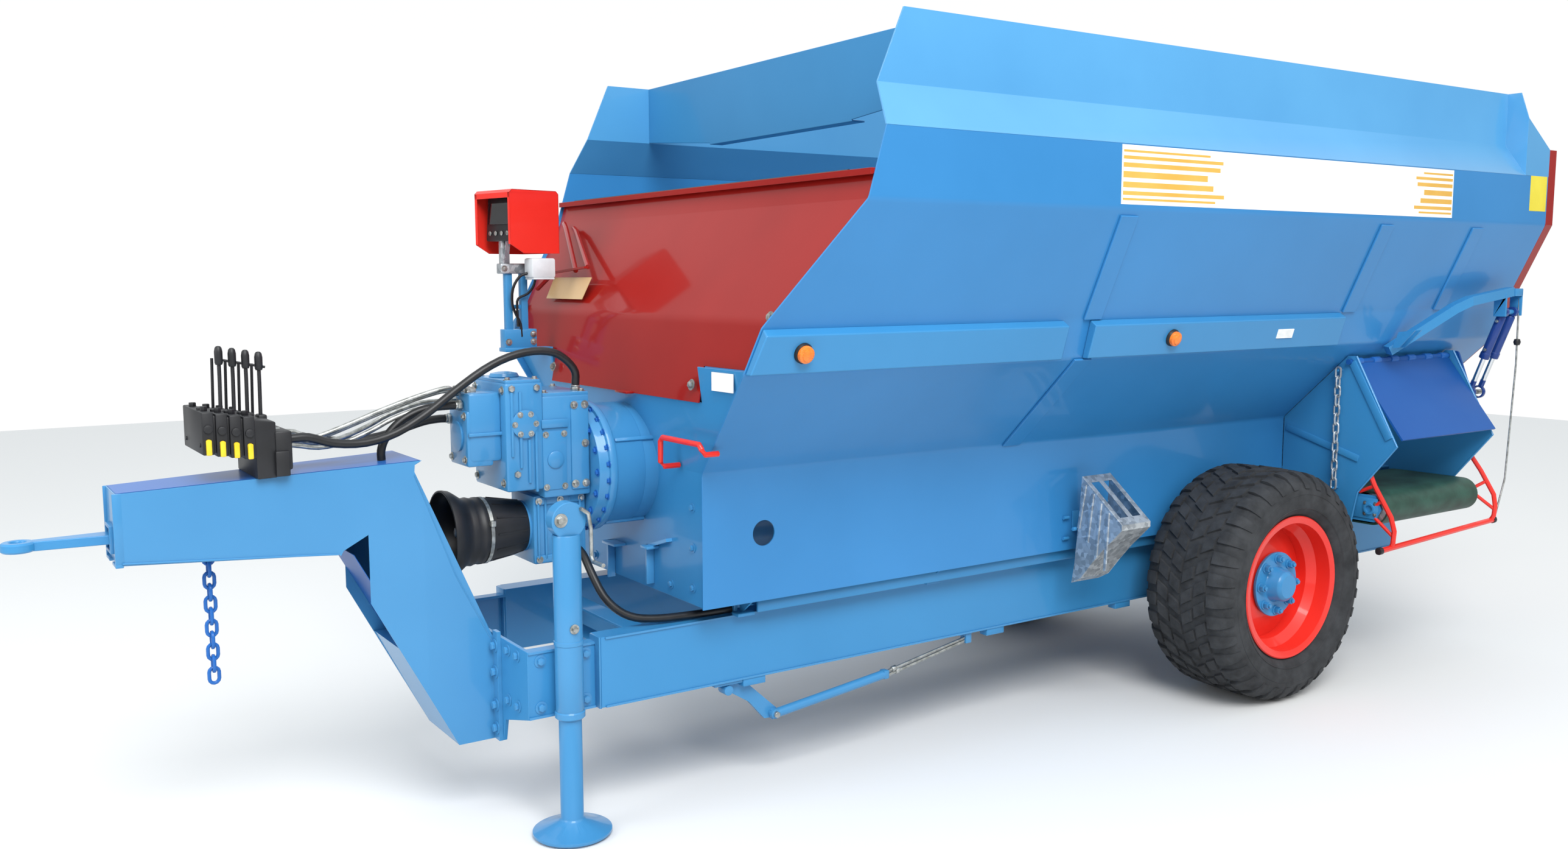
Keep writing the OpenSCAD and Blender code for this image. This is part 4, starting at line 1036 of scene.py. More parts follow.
def valve_block():
    bm = bmesh.new()
    prism_y(
        bm,
        [(3.925, 1.2188), (3.985, 1.2166), (3.985, 1.286), (4.133, 1.312), (4.133, 1.424), (3.925, 1.39)],
        -0.126, 0.146,
    )
    rounded(bm, bm.verts[:], 0.005)
    blocks(
        bm, ((3.88, -0.12, 1.24), (3.93, 0.15, 1.36), 0.006),
        ((3.89, -0.128, 1.222), (3.932, 0.158, 1.3), 0.004),
    )
    for k in range(4):
        x, up = valve_section(k)
        slab(bm, at(x - 0.0165, -0.139, up + 0.04), at(x + 0.0165, 0.157, up + 0.168), 0.004)
        # Spool caps on both ends, a relief plug and a boss under each lever
        for y, way in ((0.156, 1), (-0.138, -1)):
            rod(bm, at(x, y, up + 0.118), at(x, y + 0.009 * way, up + 0.118), 0.0125, 24, edge=0.002)
        rod(bm, at(x, 0.105, up + 0.166), at(x, 0.105, up + 0.182), 0.0105, 6, edge=0.002)
        rod(bm, at(x, 0.062, up + 0.166), at(x, 0.062, up + 0.176), 0.013, 24, edge=0.002)
        rod(bm, at(x, -0.07, up + 0.166), at(x, -0.07, up + 0.18), 0.011, 6, edge=0.002)
        hexagon_head(bm, at(x, 0.157, up + 0.06), ACROSS, 0.012, 0.006)
    for y in (-0.095, 0.125):
        rod(bm, at(3.93, y, 1.3), at(4.139, y, 1.331), 0.006, 12)
    piece("valve_sections", bm, plastic, stands_for=("valve_block",), smooth=40)
    # Lever bank: a front row with grips, a thinner row behind, and the rod that ties them
    bm = bmesh.new()
    for k in range(4):
        x = VALVE_FRONT - 0.051 + VALVE_PITCH * (k + 0.03)
        foot = 1.39 + 0.008 * k
        top = 1.597 + 0.007 * k
        pipe(
            bm,
            [
                at(x + 0.004, 0.012, foot - 0.012), at(x + 0.003, 0.01, foot + 0.04),
                at(x, 0.0, foot + 0.11), at(x, 0.0, top - 0.03),
            ],
            0.0058, 12,
        )
        lathe(
            bm,
            [
                (0.0001, 0), (0.0095, 0), (0.012, 0.006), (0.0122, 0.04), (0.01, 0.052), (0.006, 0.057),
                (0.0001, 0.058),
            ],
            at(x, 0.0, top - 0.058), UPRIGHT, 20,
        )
        pipe(bm, [at(x + 0.012, -0.06, foot), at(x + 0.01, -0.052, top - 0.04)], 0.0045, 10)
        slab(bm, at(x - 0.012, -0.02, foot - 0.022), at(x + 0.014, 0.03, foot + 0.012), 0.005)
    pipe(bm, [at(4.046, 0.0, 1.575), at(3.917, 0.0, 1.548)], 0.004, 10)
    piece("valve_levers", bm, plastic, smooth=40)
    bm = bmesh.new()
    for k in range(4):
        x, up = valve_section(k)
        lathe(
            bm, [(0.0001, 0), (0.0075, 0), (0.008, 0.004), (0.0072, 0.01), (0.0001, 0.0105)],
            at(x, 0.157, up + 0.08), ACROSS, 20,
        )
        slab(bm, at(x - 0.0078, 0.1565, up + 0.04), at(x + 0.0078, 0.1672, up + 0.086), 0.003)
    piece("valve_caps", bm, yellow_cap, smooth=40)
    # Bent steel pipes, each with its nut at both ends
    pipes = bmesh.new()
    nuts = bmesh.new()
    high = [
        (3.851, 1.334), (3.809, 1.31), (3.742, 1.326), (3.662, 1.354), (3.569, 1.388), (3.456, 1.424),
        (3.364, 1.446),
    ]
    low = [(3.852, 1.302), (3.776, 1.289), (3.692, 1.3), (3.606, 1.332), (3.535, 1.366), (3.427, 1.398)]
    for y, line, rise in (
        (0.062, high, 0.012), (0.03, high, 0.0), (-0.004, low, 0.01), (0.045, low, 0.0),
    ):
        start = at(3.928, y, line[0][1] + rise + 0.004)
        middle = [at(x, y * 0.9 + 0.004, z + rise) for x, z in line]
        end_z = 1.44 if line is high else 1.4
        path = smooth_route(
            [start] + middle + [at(3.335, y * 0.85, end_z + rise), at(3.3, y * 0.85, end_z + rise)], 3,
        )
        pipe(pipes, path, 0.0078, 12)
        for place, far in ((path[0], path[1]), (path[-1], path[-2])):
            way = (far - place).normalized()
            rod(nuts, place + way * 0.006, place + way * 0.032, 0.0135, 6, edge=0.002)
    piece("steel_pipes", pipes, bolt_zinc, smooth=60)
    piece("pipe_nuts", nuts, bolt_zinc)


valve_block()


# Gear housing with its bolted rings, and the gearbox in front of it
def round_the_axis(r, angle, x):
    return at(x, r * math.cos(angle), HOUSING_Z + r * math.sin(angle))


def gear_housing():
    bm = bmesh.new()
    lathe(
        bm,
        [
            (0.092, 2.7), (0.219, 2.7), (0.222, 2.706), (0.222, 2.806), (0.2245, 2.812), (0.233, 2.816),
            (0.235, 2.82), (0.235, 2.84), (0.233, 2.843), (0.223, 2.845), (0.2205, 2.85), (0.2195, 2.868),
            (0.215, 2.8775), (0.18, 2.878), (0.092, 2.878),
        ],
        at(0, 0, HOUSING_Z), AHEAD, 96,
    )
    plate(bm, [round_the_axis(0.2195, a, 2.647) for a in turns(64)], (0.056, 0, 0))
    # Lugs round the ring, one for each bolt
    for a in turns(24, 0.5):
        rod(
            bm, round_the_axis(0.2215, a, 2.8165), round_the_axis(0.2215, a, 2.844), 0.0135, 20,
            edge=0.002,
        )
    for a in [0.5 + turn for turn in turns(4)]:
        bar(
            bm, round_the_axis(0.2205, a, 2.652), round_the_axis(0.2205, a, 2.81), 0.014, 0.02,
            up=(0, math.cos(a), math.sin(a)), edge=0.003,
        )
    piece(
        "gear_housing_casting", bm, cast_blue_enamel, stands_for=("gear_housing",),
        smooth=40,
    )
    items = [(round_the_axis(0.2215, a, 2.8438), AHEAD, 0.015, 0.0095) for a in turns(24, 0.5)]
    items += [(round_the_axis(0.199, a, 2.8775), AHEAD, 0.015, 0.009) for a in turns(16)]
    hardware("housing_bolts", items, deep_blue_enamel)


def gearbox():
    bm = bmesh.new()
    blocks(
        bm, ((2.8775, -0.15, 1.068), (3.053, 0.14, 1.42), 0.008),
        ((2.8785, -0.146, 1.416), (3.05, 0.136, 1.43), 0.003),
        ((2.8785, -0.1, 0.83), (3.078, 0.1, 1.072), 0.01),
        ((3.05, -0.15, 1.1), (3.188, 0.142, 1.47), 0.01),
        ((3.056, -0.144, 1.466), (3.182, 0.136, 1.48), 0.004),
        ((3.186, -0.07, 1.205), (3.3, 0.104, 1.44), 0.012),
        ((3.214, -0.066, 1.19), (3.308, 0.1, 1.38), 0.01),
    )
    # Ribs cast on the near side, and the ledge above the flat face
    for x, low, high in (
        (3.105, 1.127, 1.276), (3.08, 1.095, 1.34), (3.135, 1.18, 1.44), (3.165, 1.22, 1.44),
    ):
        slab(bm, at(x - 0.005, 0.138, low), at(x + 0.005, 0.15, high), 0.003)
    blocks(
        bm, ((2.96, 0.136, 1.31), (3.06, 0.149, 1.34), 0.004),
        ((2.966, 0.136, 1.095), (3.056, 0.144, 1.3), 0.004),
        ((2.884, 0.134, 1.09), (2.95, 0.147, 1.4), 0.005),
        ((3.16, 0.098, 1.294), (3.304, 0.112, 1.306), 0.003),
    )
    for x in (2.905, 2.945, 3.035, 3.062):
        slab(bm, at(x - 0.004, 0.096, 0.85), at(x + 0.004, 0.11, 1.06), 0.002)
    blocks(
        bm, ((2.89, 0.094, 0.835), (3.07, 0.108, 0.862), 0.004),
        ((2.89, 0.094, 1.04), (3.07, 0.108, 1.066), 0.004),
    )
    # Domed cover on top, and a boss on the side
    lathe(
        bm, [(0.0001, 0), (0.05, 0), (0.052, 0.004), (0.046, 0.014), (0.02, 0.019), (0.0001, 0.02)],
        at(3.12, -0.03, 1.479), UPRIGHT, 40,
    )
    lathe(
        bm, [(0.0001, 0), (0.03, 0), (0.03, 0.006), (0.022, 0.01), (0.0001, 0.01)], at(3.01, 0.143, 1.2),
        ACROSS, 32,
    )
    lathe(
        bm, [(0.0001, 0), (0.046, 0), (0.048, 0.003), (0.048, 0.01), (0.04, 0.013), (0.0001, 0.013)],
        at(3.12, 0.141, 1.33), ACROSS, 40,
    )
    # Ring that carries the guard, and the pump's front cover
    lathe(
        bm, [(0.06, 0), (0.088, 0), (0.09, 0.003), (0.09, 0.01), (0.06, 0.012)], at(3.0765, 0, SHAFT_Z),
        AHEAD, 48,
    )
    lathe(
        bm, [(0.0001, 0), (0.05, 0), (0.052, 0.003), (0.052, 0.008), (0.04, 0.011), (0.0001, 0.011)],
        at(3.307, 0.018, 1.29), AHEAD, 40,
    )
    piece("gearbox_casting", bm, cast_blue_enamel, stands_for=("gearbox",), smooth=35)
    bm = bmesh.new()
    rod(bm, at(3.078, 0, SHAFT_Z), at(3.323, 0, SHAFT_Z), 0.015, 32, edge=0.002)
    for a in turns(6):
        way = Vector((0, math.cos(a), math.sin(a)))
        rear = at(3.245, 0, SHAFT_Z) + way * 0.0148
        bar(bm, rear, rear + Vector((0.076, 0, 0)), 0.0085, 0.005, up=way)
    piece("input_spline", bm, worn)
    bm = bmesh.new()
    # Fittings: hexagon, collar and stub in line, where each hose or pipe ends
    fittings = (
        ((2.905, 0.09, 1.43), UPRIGHT, 0.019), ((3.308, -0.05, 1.345), AHEAD, 0.02),
        ((3.308, 0.05, 1.398), AHEAD, 0.02), ((2.96, 0.1, 0.9), ACROSS, 0.018),
        ((3.262, 0.055, 1.44), AHEAD, 0.03), ((3.262, 0.015, 1.44), AHEAD, 0.03),
    )
    for place, axis, reach in fittings:
        place = at(*place)
        axis = Vector(axis)
        rod(bm, place - axis * 0.002, place + axis * reach * 0.62, 0.0182, 6, edge=0.002)
        rod(bm, place + axis * reach * 0.6, place + axis * reach, 0.0155, 24, edge=0.001)
    for x, z in ((3.075, 1.452), (3.165, 1.452), (3.15, 1.16)):
        rod(bm, at(x, 0.141, z), at(x, 0.152, z), 0.012, 6, edge=0.002)
    piece("gearbox_fittings", bm, bolt_zinc)
    items = [
        (at(x, 0.1465, z), ACROSS, 0.015, 0.009)
        for x, z in ((2.898, 1.11), (2.898, 1.25), (2.898, 1.385), (2.938, 1.11), (2.938, 1.385))
    ]
    items += [
        (at(x, 0.1435, z), ACROSS, 0.012, 0.007)
        for x, z in ((2.976, 1.106), (3.044, 1.106), (2.976, 1.288), (3.044, 1.288))
    ]
    for a in turns(6):
        place = at(3.12 + 0.038 * math.cos(a), 0.1535, 1.33 + 0.038 * math.sin(a))
        items.append((place, ACROSS, 0.011, 0.006))
    items += [
        (at(x, y, 1.4295), UPRIGHT, 0.015, 0.009)
        for x, y in ((2.895, 0.115), (2.895, -0.125), (3.035, 0.115), (3.035, -0.125))
    ]
    items += [
        (at(x, y, 1.4795), UPRIGHT, 0.015, 0.009)
        for x, y in ((3.07, 0.118), (3.168, 0.118), (3.07, -0.125), (3.168, -0.125))
    ]
    for x in (2.9, 2.98, 3.06):
        items += [(at(x, 0.1075, z), ACROSS, 0.013, 0.008) for z in (0.848, 1.053)]
    items += [
        (at(3.307, y, z), AHEAD, 0.015, 0.01)
        for y, z in ((-0.045, 1.215), (0.08, 1.215), (0.08, 1.362), (-0.01, 1.415))
    ]
    for y in (-0.125, 0.118):
        items += [(at(3.187, y, z), AHEAD, 0.016, 0.01) for z in (1.13, 1.445)]
    hardware("gearbox_bolts", items, bolt_zinc)
    bm = bmesh.new()
    # A black disc at the pump's port: painted shade of its unlit inside
    rod(bm, at(3.262, 0.0995, 1.3), at(3.262, 0.1012, 1.3), 0.02, 32)
    piece("pump_port_painted_shade", bm, painted_shade_black)


gear_housing()
gearbox()


# Input shaft's guard: a moulded cone with a bellows rim and a strap
def pto_guard():
    bm = bmesh.new()
    outer = [
        (0.07, 0.0), (0.085, 0.0), (0.088, 0.004), (0.0925, 0.02), (0.1, 0.05), (0.106, 0.09),
        (0.113, 0.14), (0.1135, 0.16), (0.1165, 0.166), (0.1165, 0.176), (0.114, 0.182), (0.116, 0.196),
        (0.119, 0.204), (0.117, 0.216), (0.1185, 0.226), (0.129, 0.24), (0.139, 0.254), (0.1465, 0.266),
        (0.148, 0.274), (0.15, 0.282), (0.15, 0.29), (0.147, 0.292), (0.144, 0.291),
    ]
    inner = [
        (0.143, 0.27), (0.133, 0.254), (0.113, 0.228), (0.108, 0.14), (0.0945, 0.05), (0.082, 0.008),
        (0.07, 0.008),
    ]
    lathe(bm, outer + inner, at(3.078, 0, SHAFT_Z), AHEAD, 72)
    for a in turns(12):
        way = Vector((0, math.cos(a), math.sin(a)))
        rear, front = at(3.095, 0, SHAFT_Z) + way * 0.0905, at(3.21, 0, SHAFT_Z) + way * 0.1115
        bar(bm, rear, front, 0.006, 0.007, up=way)
    piece("pto_guard_cone", bm, plastic, stands_for=("pto_guard",), smooth=40)
    bm = bmesh.new()
    lathe(
        bm, [(0.1138, 0.146), (0.116, 0.146), (0.116, 0.158), (0.1138, 0.158)], at(3.078, 0, SHAFT_Z),
        AHEAD, 72,
    )
    slab(bm, at(3.222, 0.105, 0.985), at(3.24, 0.124, 1.005), 0.003)
    piece("guard_strap", bm, bolt_zinc)


pto_guard()


# Front wall: black edge over its rolled top, stays, plate and bolts
def front_wall_trim():
    bm = bmesh.new()
    top = 2.15
    pipe(bm, [at(2.3835, -0.985, top - 0.004), at(2.3835, 0.985, top - 0.004)], 0.0085, 12)
    piece("front_wall_rubber", bm, plastic)
    bm = bmesh.new()
    for path in (
        [(2.432, -1.0, 2.055), (2.47, -0.9, 2.03), (2.6, -0.537, 1.85)],
        [(2.442, -0.88, 2.03), (2.47, -0.8, 2.012), (2.604, -0.417, 1.864)],
    ):
        pipe(bm, [at(*p) for p in path], 0.01, 12)
    bar(bm, at(2.612, -0.74, 1.835), at(2.66, -0.783, 1.773), 0.03, 0.01)
    bar(bm, at(2.6, -0.76, 1.842), at(2.62, -0.4, 1.862), 0.018, 0.008)
    slab(bm, at(2.69, 0.03, 1.41), at(2.722, 0.12, 1.418), 0.002)
    piece("front_wall_stays", bm, red_enamel)
    bm = bmesh.new()
    plate(
        bm,
        [
            at(2.601, -0.736, 1.822), at(2.601, -0.389, 1.822), at(2.6355, -0.408, 1.737),
            at(2.6355, -0.742, 1.737),
        ],
        (0.003, 0, 0.0013),
    )
    piece("tan_plate", bm, tan_film, edge=0.0006)
    items = [
        (at(*place), (1, 0, 0.2), 0.02, 0.012)
        for place in ((2.647, 0.94, 1.7), (2.647, -0.94, 1.7), (2.7, 0.547, 1.47), (2.7, -0.547, 1.47))
    ]
    hardware("front_wall_bolts", items, bolt_zinc)


front_wall_trim()


# Weighing display: a turned red hood over the dark screen, on a post of two bars
def weighing_display():
    corner = at(2.892, -0.49, 0)
    turn = Matrix.Rotation(math.radians(13), 3, "Z")
    wide, low, high = 0.232, 1.917, 2.16

    def inside(x, y, z):
        return corner + turn @ Vector((x, y, z))

    bm = bmesh.new()
    outline = [
        (0, high - 0.012), (-0.012, high), (0.012 - wide, high), (-wide, high - 0.012), (-wide, low),
        (-0.06, low), (0, low + 0.034),
    ]
    t = 0.003
    for y in (-t, -wide):
        plate(bm, [inside(x, y, z) for x, z in outline], turn @ Vector((0, t, 0)))
    rim = [
        (0, low + 0.034), (0, high - 0.012), (-0.012, high), (0.012 - wide, high), (-wide, high - 0.012),
        (-wide, low),
    ]
    for (x0, z0), (x1, z1) in zip(rim, rim[1:]):
        if x0 == 0 and x1 == 0:
            continue
        way = Vector((x1 - x0, 0, z1 - z0)).normalized()
        shift = Vector((-way.z, 0, way.x)) * t
        if shift.z > 0 or x0 < -0.2 and shift.x < 0:
            shift = -shift
        plate(
            bm, [inside(x0, 0, z0), inside(x1, 0, z1), inside(x1, -wide, z1), inside(x0, -wide, z0)],
            turn @ shift,
        )
    # Return lips round the open front
    for y in (-0.014, -wide):
        plate(
            bm,
            [
                inside(0, y, low + 0.034), inside(0, y + 0.014, low + 0.034),
                inside(0, y + 0.014, high - 0.012), inside(0, y, high - 0.012),
            ],
            turn @ Vector((-t, 0, 0)),
        )
    plate(
        bm,
        [
            inside(0, -wide, high - 0.012), inside(0, 0, high - 0.012), inside(0, 0, high - 0.032),
            inside(0, -wide, high - 0.032),
        ],
        turn @ Vector((-t, 0, 0)),
    )
    piece("display_hood", bm, bright_red_enamel, stands_for=("weighing_box",), edge=0.0006)
    bm = bmesh.new()
    plate(
        bm,
        [
            inside(-0.03, -0.205, 1.965), inside(-0.03, -0.028, 1.965), inside(-0.042, -0.028, 2.135),
            inside(-0.042, -0.205, 2.135),
        ],
        turn @ Vector((-0.07, 0, 0)),
    )
    rounded(bm, bm.verts[:], 0.006)
    piece("display_case", bm, plastic)
    bm = bmesh.new()
    plate(
        bm,
        [
            inside(-0.029, -0.192, 2.03), inside(-0.029, -0.042, 2.03), inside(-0.035, -0.042, 2.112),
            inside(-0.035, -0.192, 2.112),
        ],
        turn @ Vector((-0.004, 0, 0)),
    )
    piece("display_glass", bm, screen_glass, edge=0.001)
    bm = bmesh.new()
    for k in range(4):
        y = -0.175 + 0.038 * k
        rod(bm, inside(-0.03, y, 1.995), inside(-0.027, y, 1.995), 0.009, 20, edge=0.001)
    piece("display_keys", bm, bolt_zinc)
    # Post: shelf, two bars, grey head block, light box and bracket
    bm = bmesh.new()
    blocks(
        bm, ((2.678, -0.665, 1.531), (2.88, -0.595, 1.547), 0.003),
        ((2.775, -0.64, 1.545), (2.803, -0.61, 1.842), 0.003),
        ((2.839, -0.64, 1.545), (2.867, -0.61, 1.842), 0.003),
        ((2.745, -0.655, 1.545), (2.878, -0.6, 1.62), 0.003),
        ((2.8, -0.634, 1.7), (2.842, -0.618, 1.716), 0.002),
    )
    piece("display_post", bm, blue_enamel, stands_for=("weighing_post",))
    bm = bmesh.new()
    blocks(
        bm, ((2.76, -0.645, 1.838), (2.89, -0.6, 1.878), 0.004),
        ((2.847, -0.64, 1.876), (2.881, -0.61, 2.06), 0.003),
    )
    bar(bm, at(2.862, -0.612, 1.89), at(2.862, -0.56, 2.05), 0.02, 0.004)
    piece("display_bracket", bm, zinc, edge=0.0008)
    bm = bmesh.new()
    blocks(
        bm, ((2.7, -0.585, 1.822), (2.8, -0.505, 1.898), 0.008),
        ((2.706, -0.588, 1.815), (2.794, -0.502, 1.823), 0.003),
    )
    piece("terminal_box", bm, pale_plastic)
    bm = bmesh.new()
    loop = [
        (2.8, -0.55, 1.84), (2.83, -0.56, 1.826), (2.852, -0.575, 1.78), (2.85, -0.59, 1.72),
        (2.832, -0.6, 1.68), (2.812, -0.604, 1.64), (2.808, -0.604, 1.59),
    ]
    pipe(bm, smooth_route([at(*p) for p in loop]), 0.0055, 12)
    loop = [
        (2.77, -0.545, 1.818), (2.772, -0.56, 1.79), (2.786, -0.585, 1.76), (2.82, -0.602, 1.74),
        (2.824, -0.604, 1.7), (2.822, -0.604, 1.63),
    ]
    pipe(bm, smooth_route([at(*p) for p in loop]), 0.005, 12)
    piece("display_leads", bm, hose_cover, smooth=60)
    items = [
        (at(x, -0.5995, z), ACROSS, 0.014, 0.009)
        for x, z in ((2.76, 1.57), (2.76, 1.6), (2.864, 1.57))
    ]
    items += [(at(x, -0.5995, 1.858), ACROSS, 0.013, 0.008) for x in (2.775, 2.875)]
    hardware("post_bolts", items, bolt_zinc)


weighing_display()


# Wheel chock: pressed and galvanised, with slots in its running face and ribbed sides
def wheel_chock():
    line = [
        (0.632, 1.02), (0.846, 0.852), (0.846, 0.83), (0.802, 0.786), (0.756, 0.742), (0.7, 0.68),
        (0.636, 0.602), (0.586, 0.574), (0.6, 0.653), (0.62, 0.847),
    ]
    bm = bmesh.new()
    for x in (0.772, 0.935):
        prism_x(bm, line, x - 0.002, x + 0.002)
    # Running face with two rows of slots, between the pressed sides
    start, end = Vector((0, 0.632, 1.02)), Vector((0, 0.846, 0.852))
    way = (end - start).normalized()
    out = Vector((0, -way.z, way.y))
    t = 0.0035

    def on_face(x, s):
        return at(x, 0, 0) + start + way * s - out * t

    length = (end - start).length
    cuts = [0.0] + [v for k in range(5) for v in (0.036 + 0.044 * k, 0.058 + 0.044 * k)] + [length]
    lanes = (0.774, 0.794, 0.842, 0.866, 0.914, 0.933)
    for a, b in zip(cuts, cuts[1:]):
        slot_row = abs((b - a) - 0.022) < 0.001
        for k, (x0, x1) in enumerate(zip(lanes, lanes[1:])):
            if slot_row and k in (1, 3):
                continue
            plate(bm, [on_face(x0, a), on_face(x1, a), on_face(x1, b), on_face(x0, b)], out * t)
    # Lip at the toe, concave rolling face below it, and the back
    for (y0, z0), (y1, z1) in zip(line[1:], line[2:]):
        side_way = Vector((0, y1 - y0, z1 - z0)).normalized()
        inward = Vector((0, side_way.z, -side_way.y)) * 0.003
        if z1 > z0:
            continue
        plate(bm, [at(0.774, y0, z0), at(0.933, y0, z0), at(0.933, y1, z1), at(0.774, y1, z1)], inward)
    for k in range(4):
        s = 0.035 + 0.052 * k
        foot = Vector((0, 0.64 + 0.048 * k, 0.905 - 0.05 * k))
        head = start + way * s - out * 0.012
        bar(
            bm, at(0.9375, 0, 0) + head, at(0.9375, 0, 0) + foot - Vector((0, 0.02, 0.1)), 0.016, 0.005,
            up=AHEAD, edge=0.002,
        )
    piece("chock_pressing", bm, zinc, stands_for=("wheel_chock",), edge=0.0012)
    bm = bmesh.new()
    blocks(
        bm, ((0.815, 0.541, 0.78), (0.895, 0.548, 0.862), 0.002),
        ((0.815, 0.546, 0.786), (0.895, 0.622, 0.796), 0.002),
    )
    for z in (0.752, 0.838):
        rod(bm, at(0.92, 0.548, z), at(0.95, 0.548, z), 0.007, 20)
    rod(bm, at(0.76, 0.6, 0.8), at(0.95, 0.6, 0.8), 0.008, 20, edge=0.001)
    piece("chock_holder", bm, blue_enamel)


wheel_chock()


# Discharge: edges and welds of the side plates, flap hinges and the arm's fittings
def discharge_trim():
    bm = bmesh.new()
    for x in (-0.514, -1.306):
        pipe(
            bm,
            [
                at(x, y, z)
                for y, z in (
                    (0.605, 0.702), (0.8985, 0.702), (0.929, 0.86), (1.104, 1.08), (0.895, 1.464),
                )
            ],
            0.0055, 10,
        )
    # Stiffening angle across the near plate, and a bar above the chain
    bar(bm, at(-0.506, 0.56, 1.12), at(-0.506, 0.93, 1.01), 0.03, 0.008, up=AHEAD, edge=0.002)
    bar(bm, at(-0.506, 0.88, 1.44), at(-0.506, 1.07, 1.11), 0.034, 0.008, up=AHEAD, edge=0.002)
    piece("discharge_edges", bm, blue_enamel)
    bm = bmesh.new()
    hinge = at(0, 0.8698, 1.44)
    for x in (-0.56, -0.7, -0.84, -0.98, -1.12, -1.258):
        rod(
            bm, hinge + Vector((x - 0.028, 0, 0)), hinge + Vector((x + 0.028, 0, 0)), 0.0165, 24,
            edge=0.002,
        )
    piece("flap_hinges", bm, deep_blue_enamel, "flap")
    # Arm's gusset on the wall, its end plate and the pins
    bm = bmesh.new()
    for x in (-0.69, -0.738):
        corners = ((0.958, 1.5), (0.985, 1.572), (1.062, 1.582), (0.99, 1.502))
        plate(bm, [at(x, y, z) for y, z in corners], (0.008, 0, 0))
    slab(bm, at(-1.509, 1.0465, 1.632), at(-1.501, 1.1035, 1.73), 0.002)
    rod(bm, at(-1.411, 1.0748, 1.65), at(-1.509, 1.0748, 1.65), 0.0118, 24)
    bar(bm, at(-1.44, 1.08, 1.742), at(-1.509, 1.08, 1.742), 0.05, 0.036, edge=0.004)
    piece("arm_fittings", bm, blue_enamel)


discharge_trim()


# Two cylinders side by side on the same pins: the barrels turn on the arm, the rods end at the levers
def flap_cylinders():
    top = Vector((0, 1.0748, 1.65))
    low = Vector((0, 0.9348, 1.2615))
    way = (low - top).normalized()
    full = (low - top).length
    barrels = bmesh.new()
    rods = bmesh.new()
    eyes = bmesh.new()
    ports = bmesh.new()
    for x in (-1.395, -1.478):
        base = at(x, 0, 0) + top
        lathe(
            barrels,
            [
                (0.0001, 0.02), (0.018, 0.02), (0.0205, 0.024), (0.0205, 0.205), (0.0232, 0.208),
                (0.0232, 0.232), (0.0215, 0.235), (0.0125, 0.235), (0.0125, 0.06), (0.0001, 0.06),
            ],
            base, way, 40,
        )
        lathe(barrels, [(0.0125, -0.01), (0.024, -0.01), (0.024, 0.01), (0.0125, 0.01)], base, AHEAD, 40)
        outward = Vector((-1 if x < -1.4 else 1, 0, 0))
        for place in (base + way * 0.045, base + way * 0.19):
            rod(ports, place + outward * 0.018, place + outward * 0.03, 0.0075, 6, edge=0.001)
        lathe(
            rods, [(0.0001, 0.17), (0.011, 0.17), (0.011, full - 0.034), (0.0001, full - 0.034)], base,
            way, 32,
        )
        lathe(
            eyes,
            [
                (0.023, -0.009), (0.03, -0.009), (0.031, -0.007), (0.031, 0.007), (0.03, 0.009),
                (0.023, 0.009),
            ],
            at(x, 0, 0) + low, AHEAD, 40,
        )
        rod(eyes, base + way * (full - 0.062), base + way * (full - 0.03), 0.014, 6, edge=0.002)
    piece("cylinder_barrels", barrels, navy_enamel, "barrel", ("flap_cylinder",))
    piece("cylinder_ports", ports, bolt_zinc, "barrel")
    piece("cylinder_rods", rods, chrome, "rod", ("flap_rod",))
    piece("rod_eyes", eyes, navy_enamel, "rod")
    # The lever's pin reaches through both eyes
    bm = bmesh.new()
    rod(bm, at(-1.4, 0.9348, 1.2615), at(-1.5, 0.9348, 1.2615), 0.0118, 24, edge=0.001)
    piece("lever_pin", bm, bolt_zinc, "flap")


flap_cylinders()


# Conveyor: rubber belt over two drums, the guard's caps and braces, and the stop rod
def belt_outline(y0, y1, z, r, steps=18):
    """Outline of (y, z) round two drums."""
    turns = [math.pi * (k / steps - 0.5) for k in range(steps + 1)]
    far = [(y1 + math.cos(a) * r, z + math.sin(a) * r) for a in turns]
    return far + [(y0 - math.cos(a) * r, z - math.sin(a) * r) for a in turns]


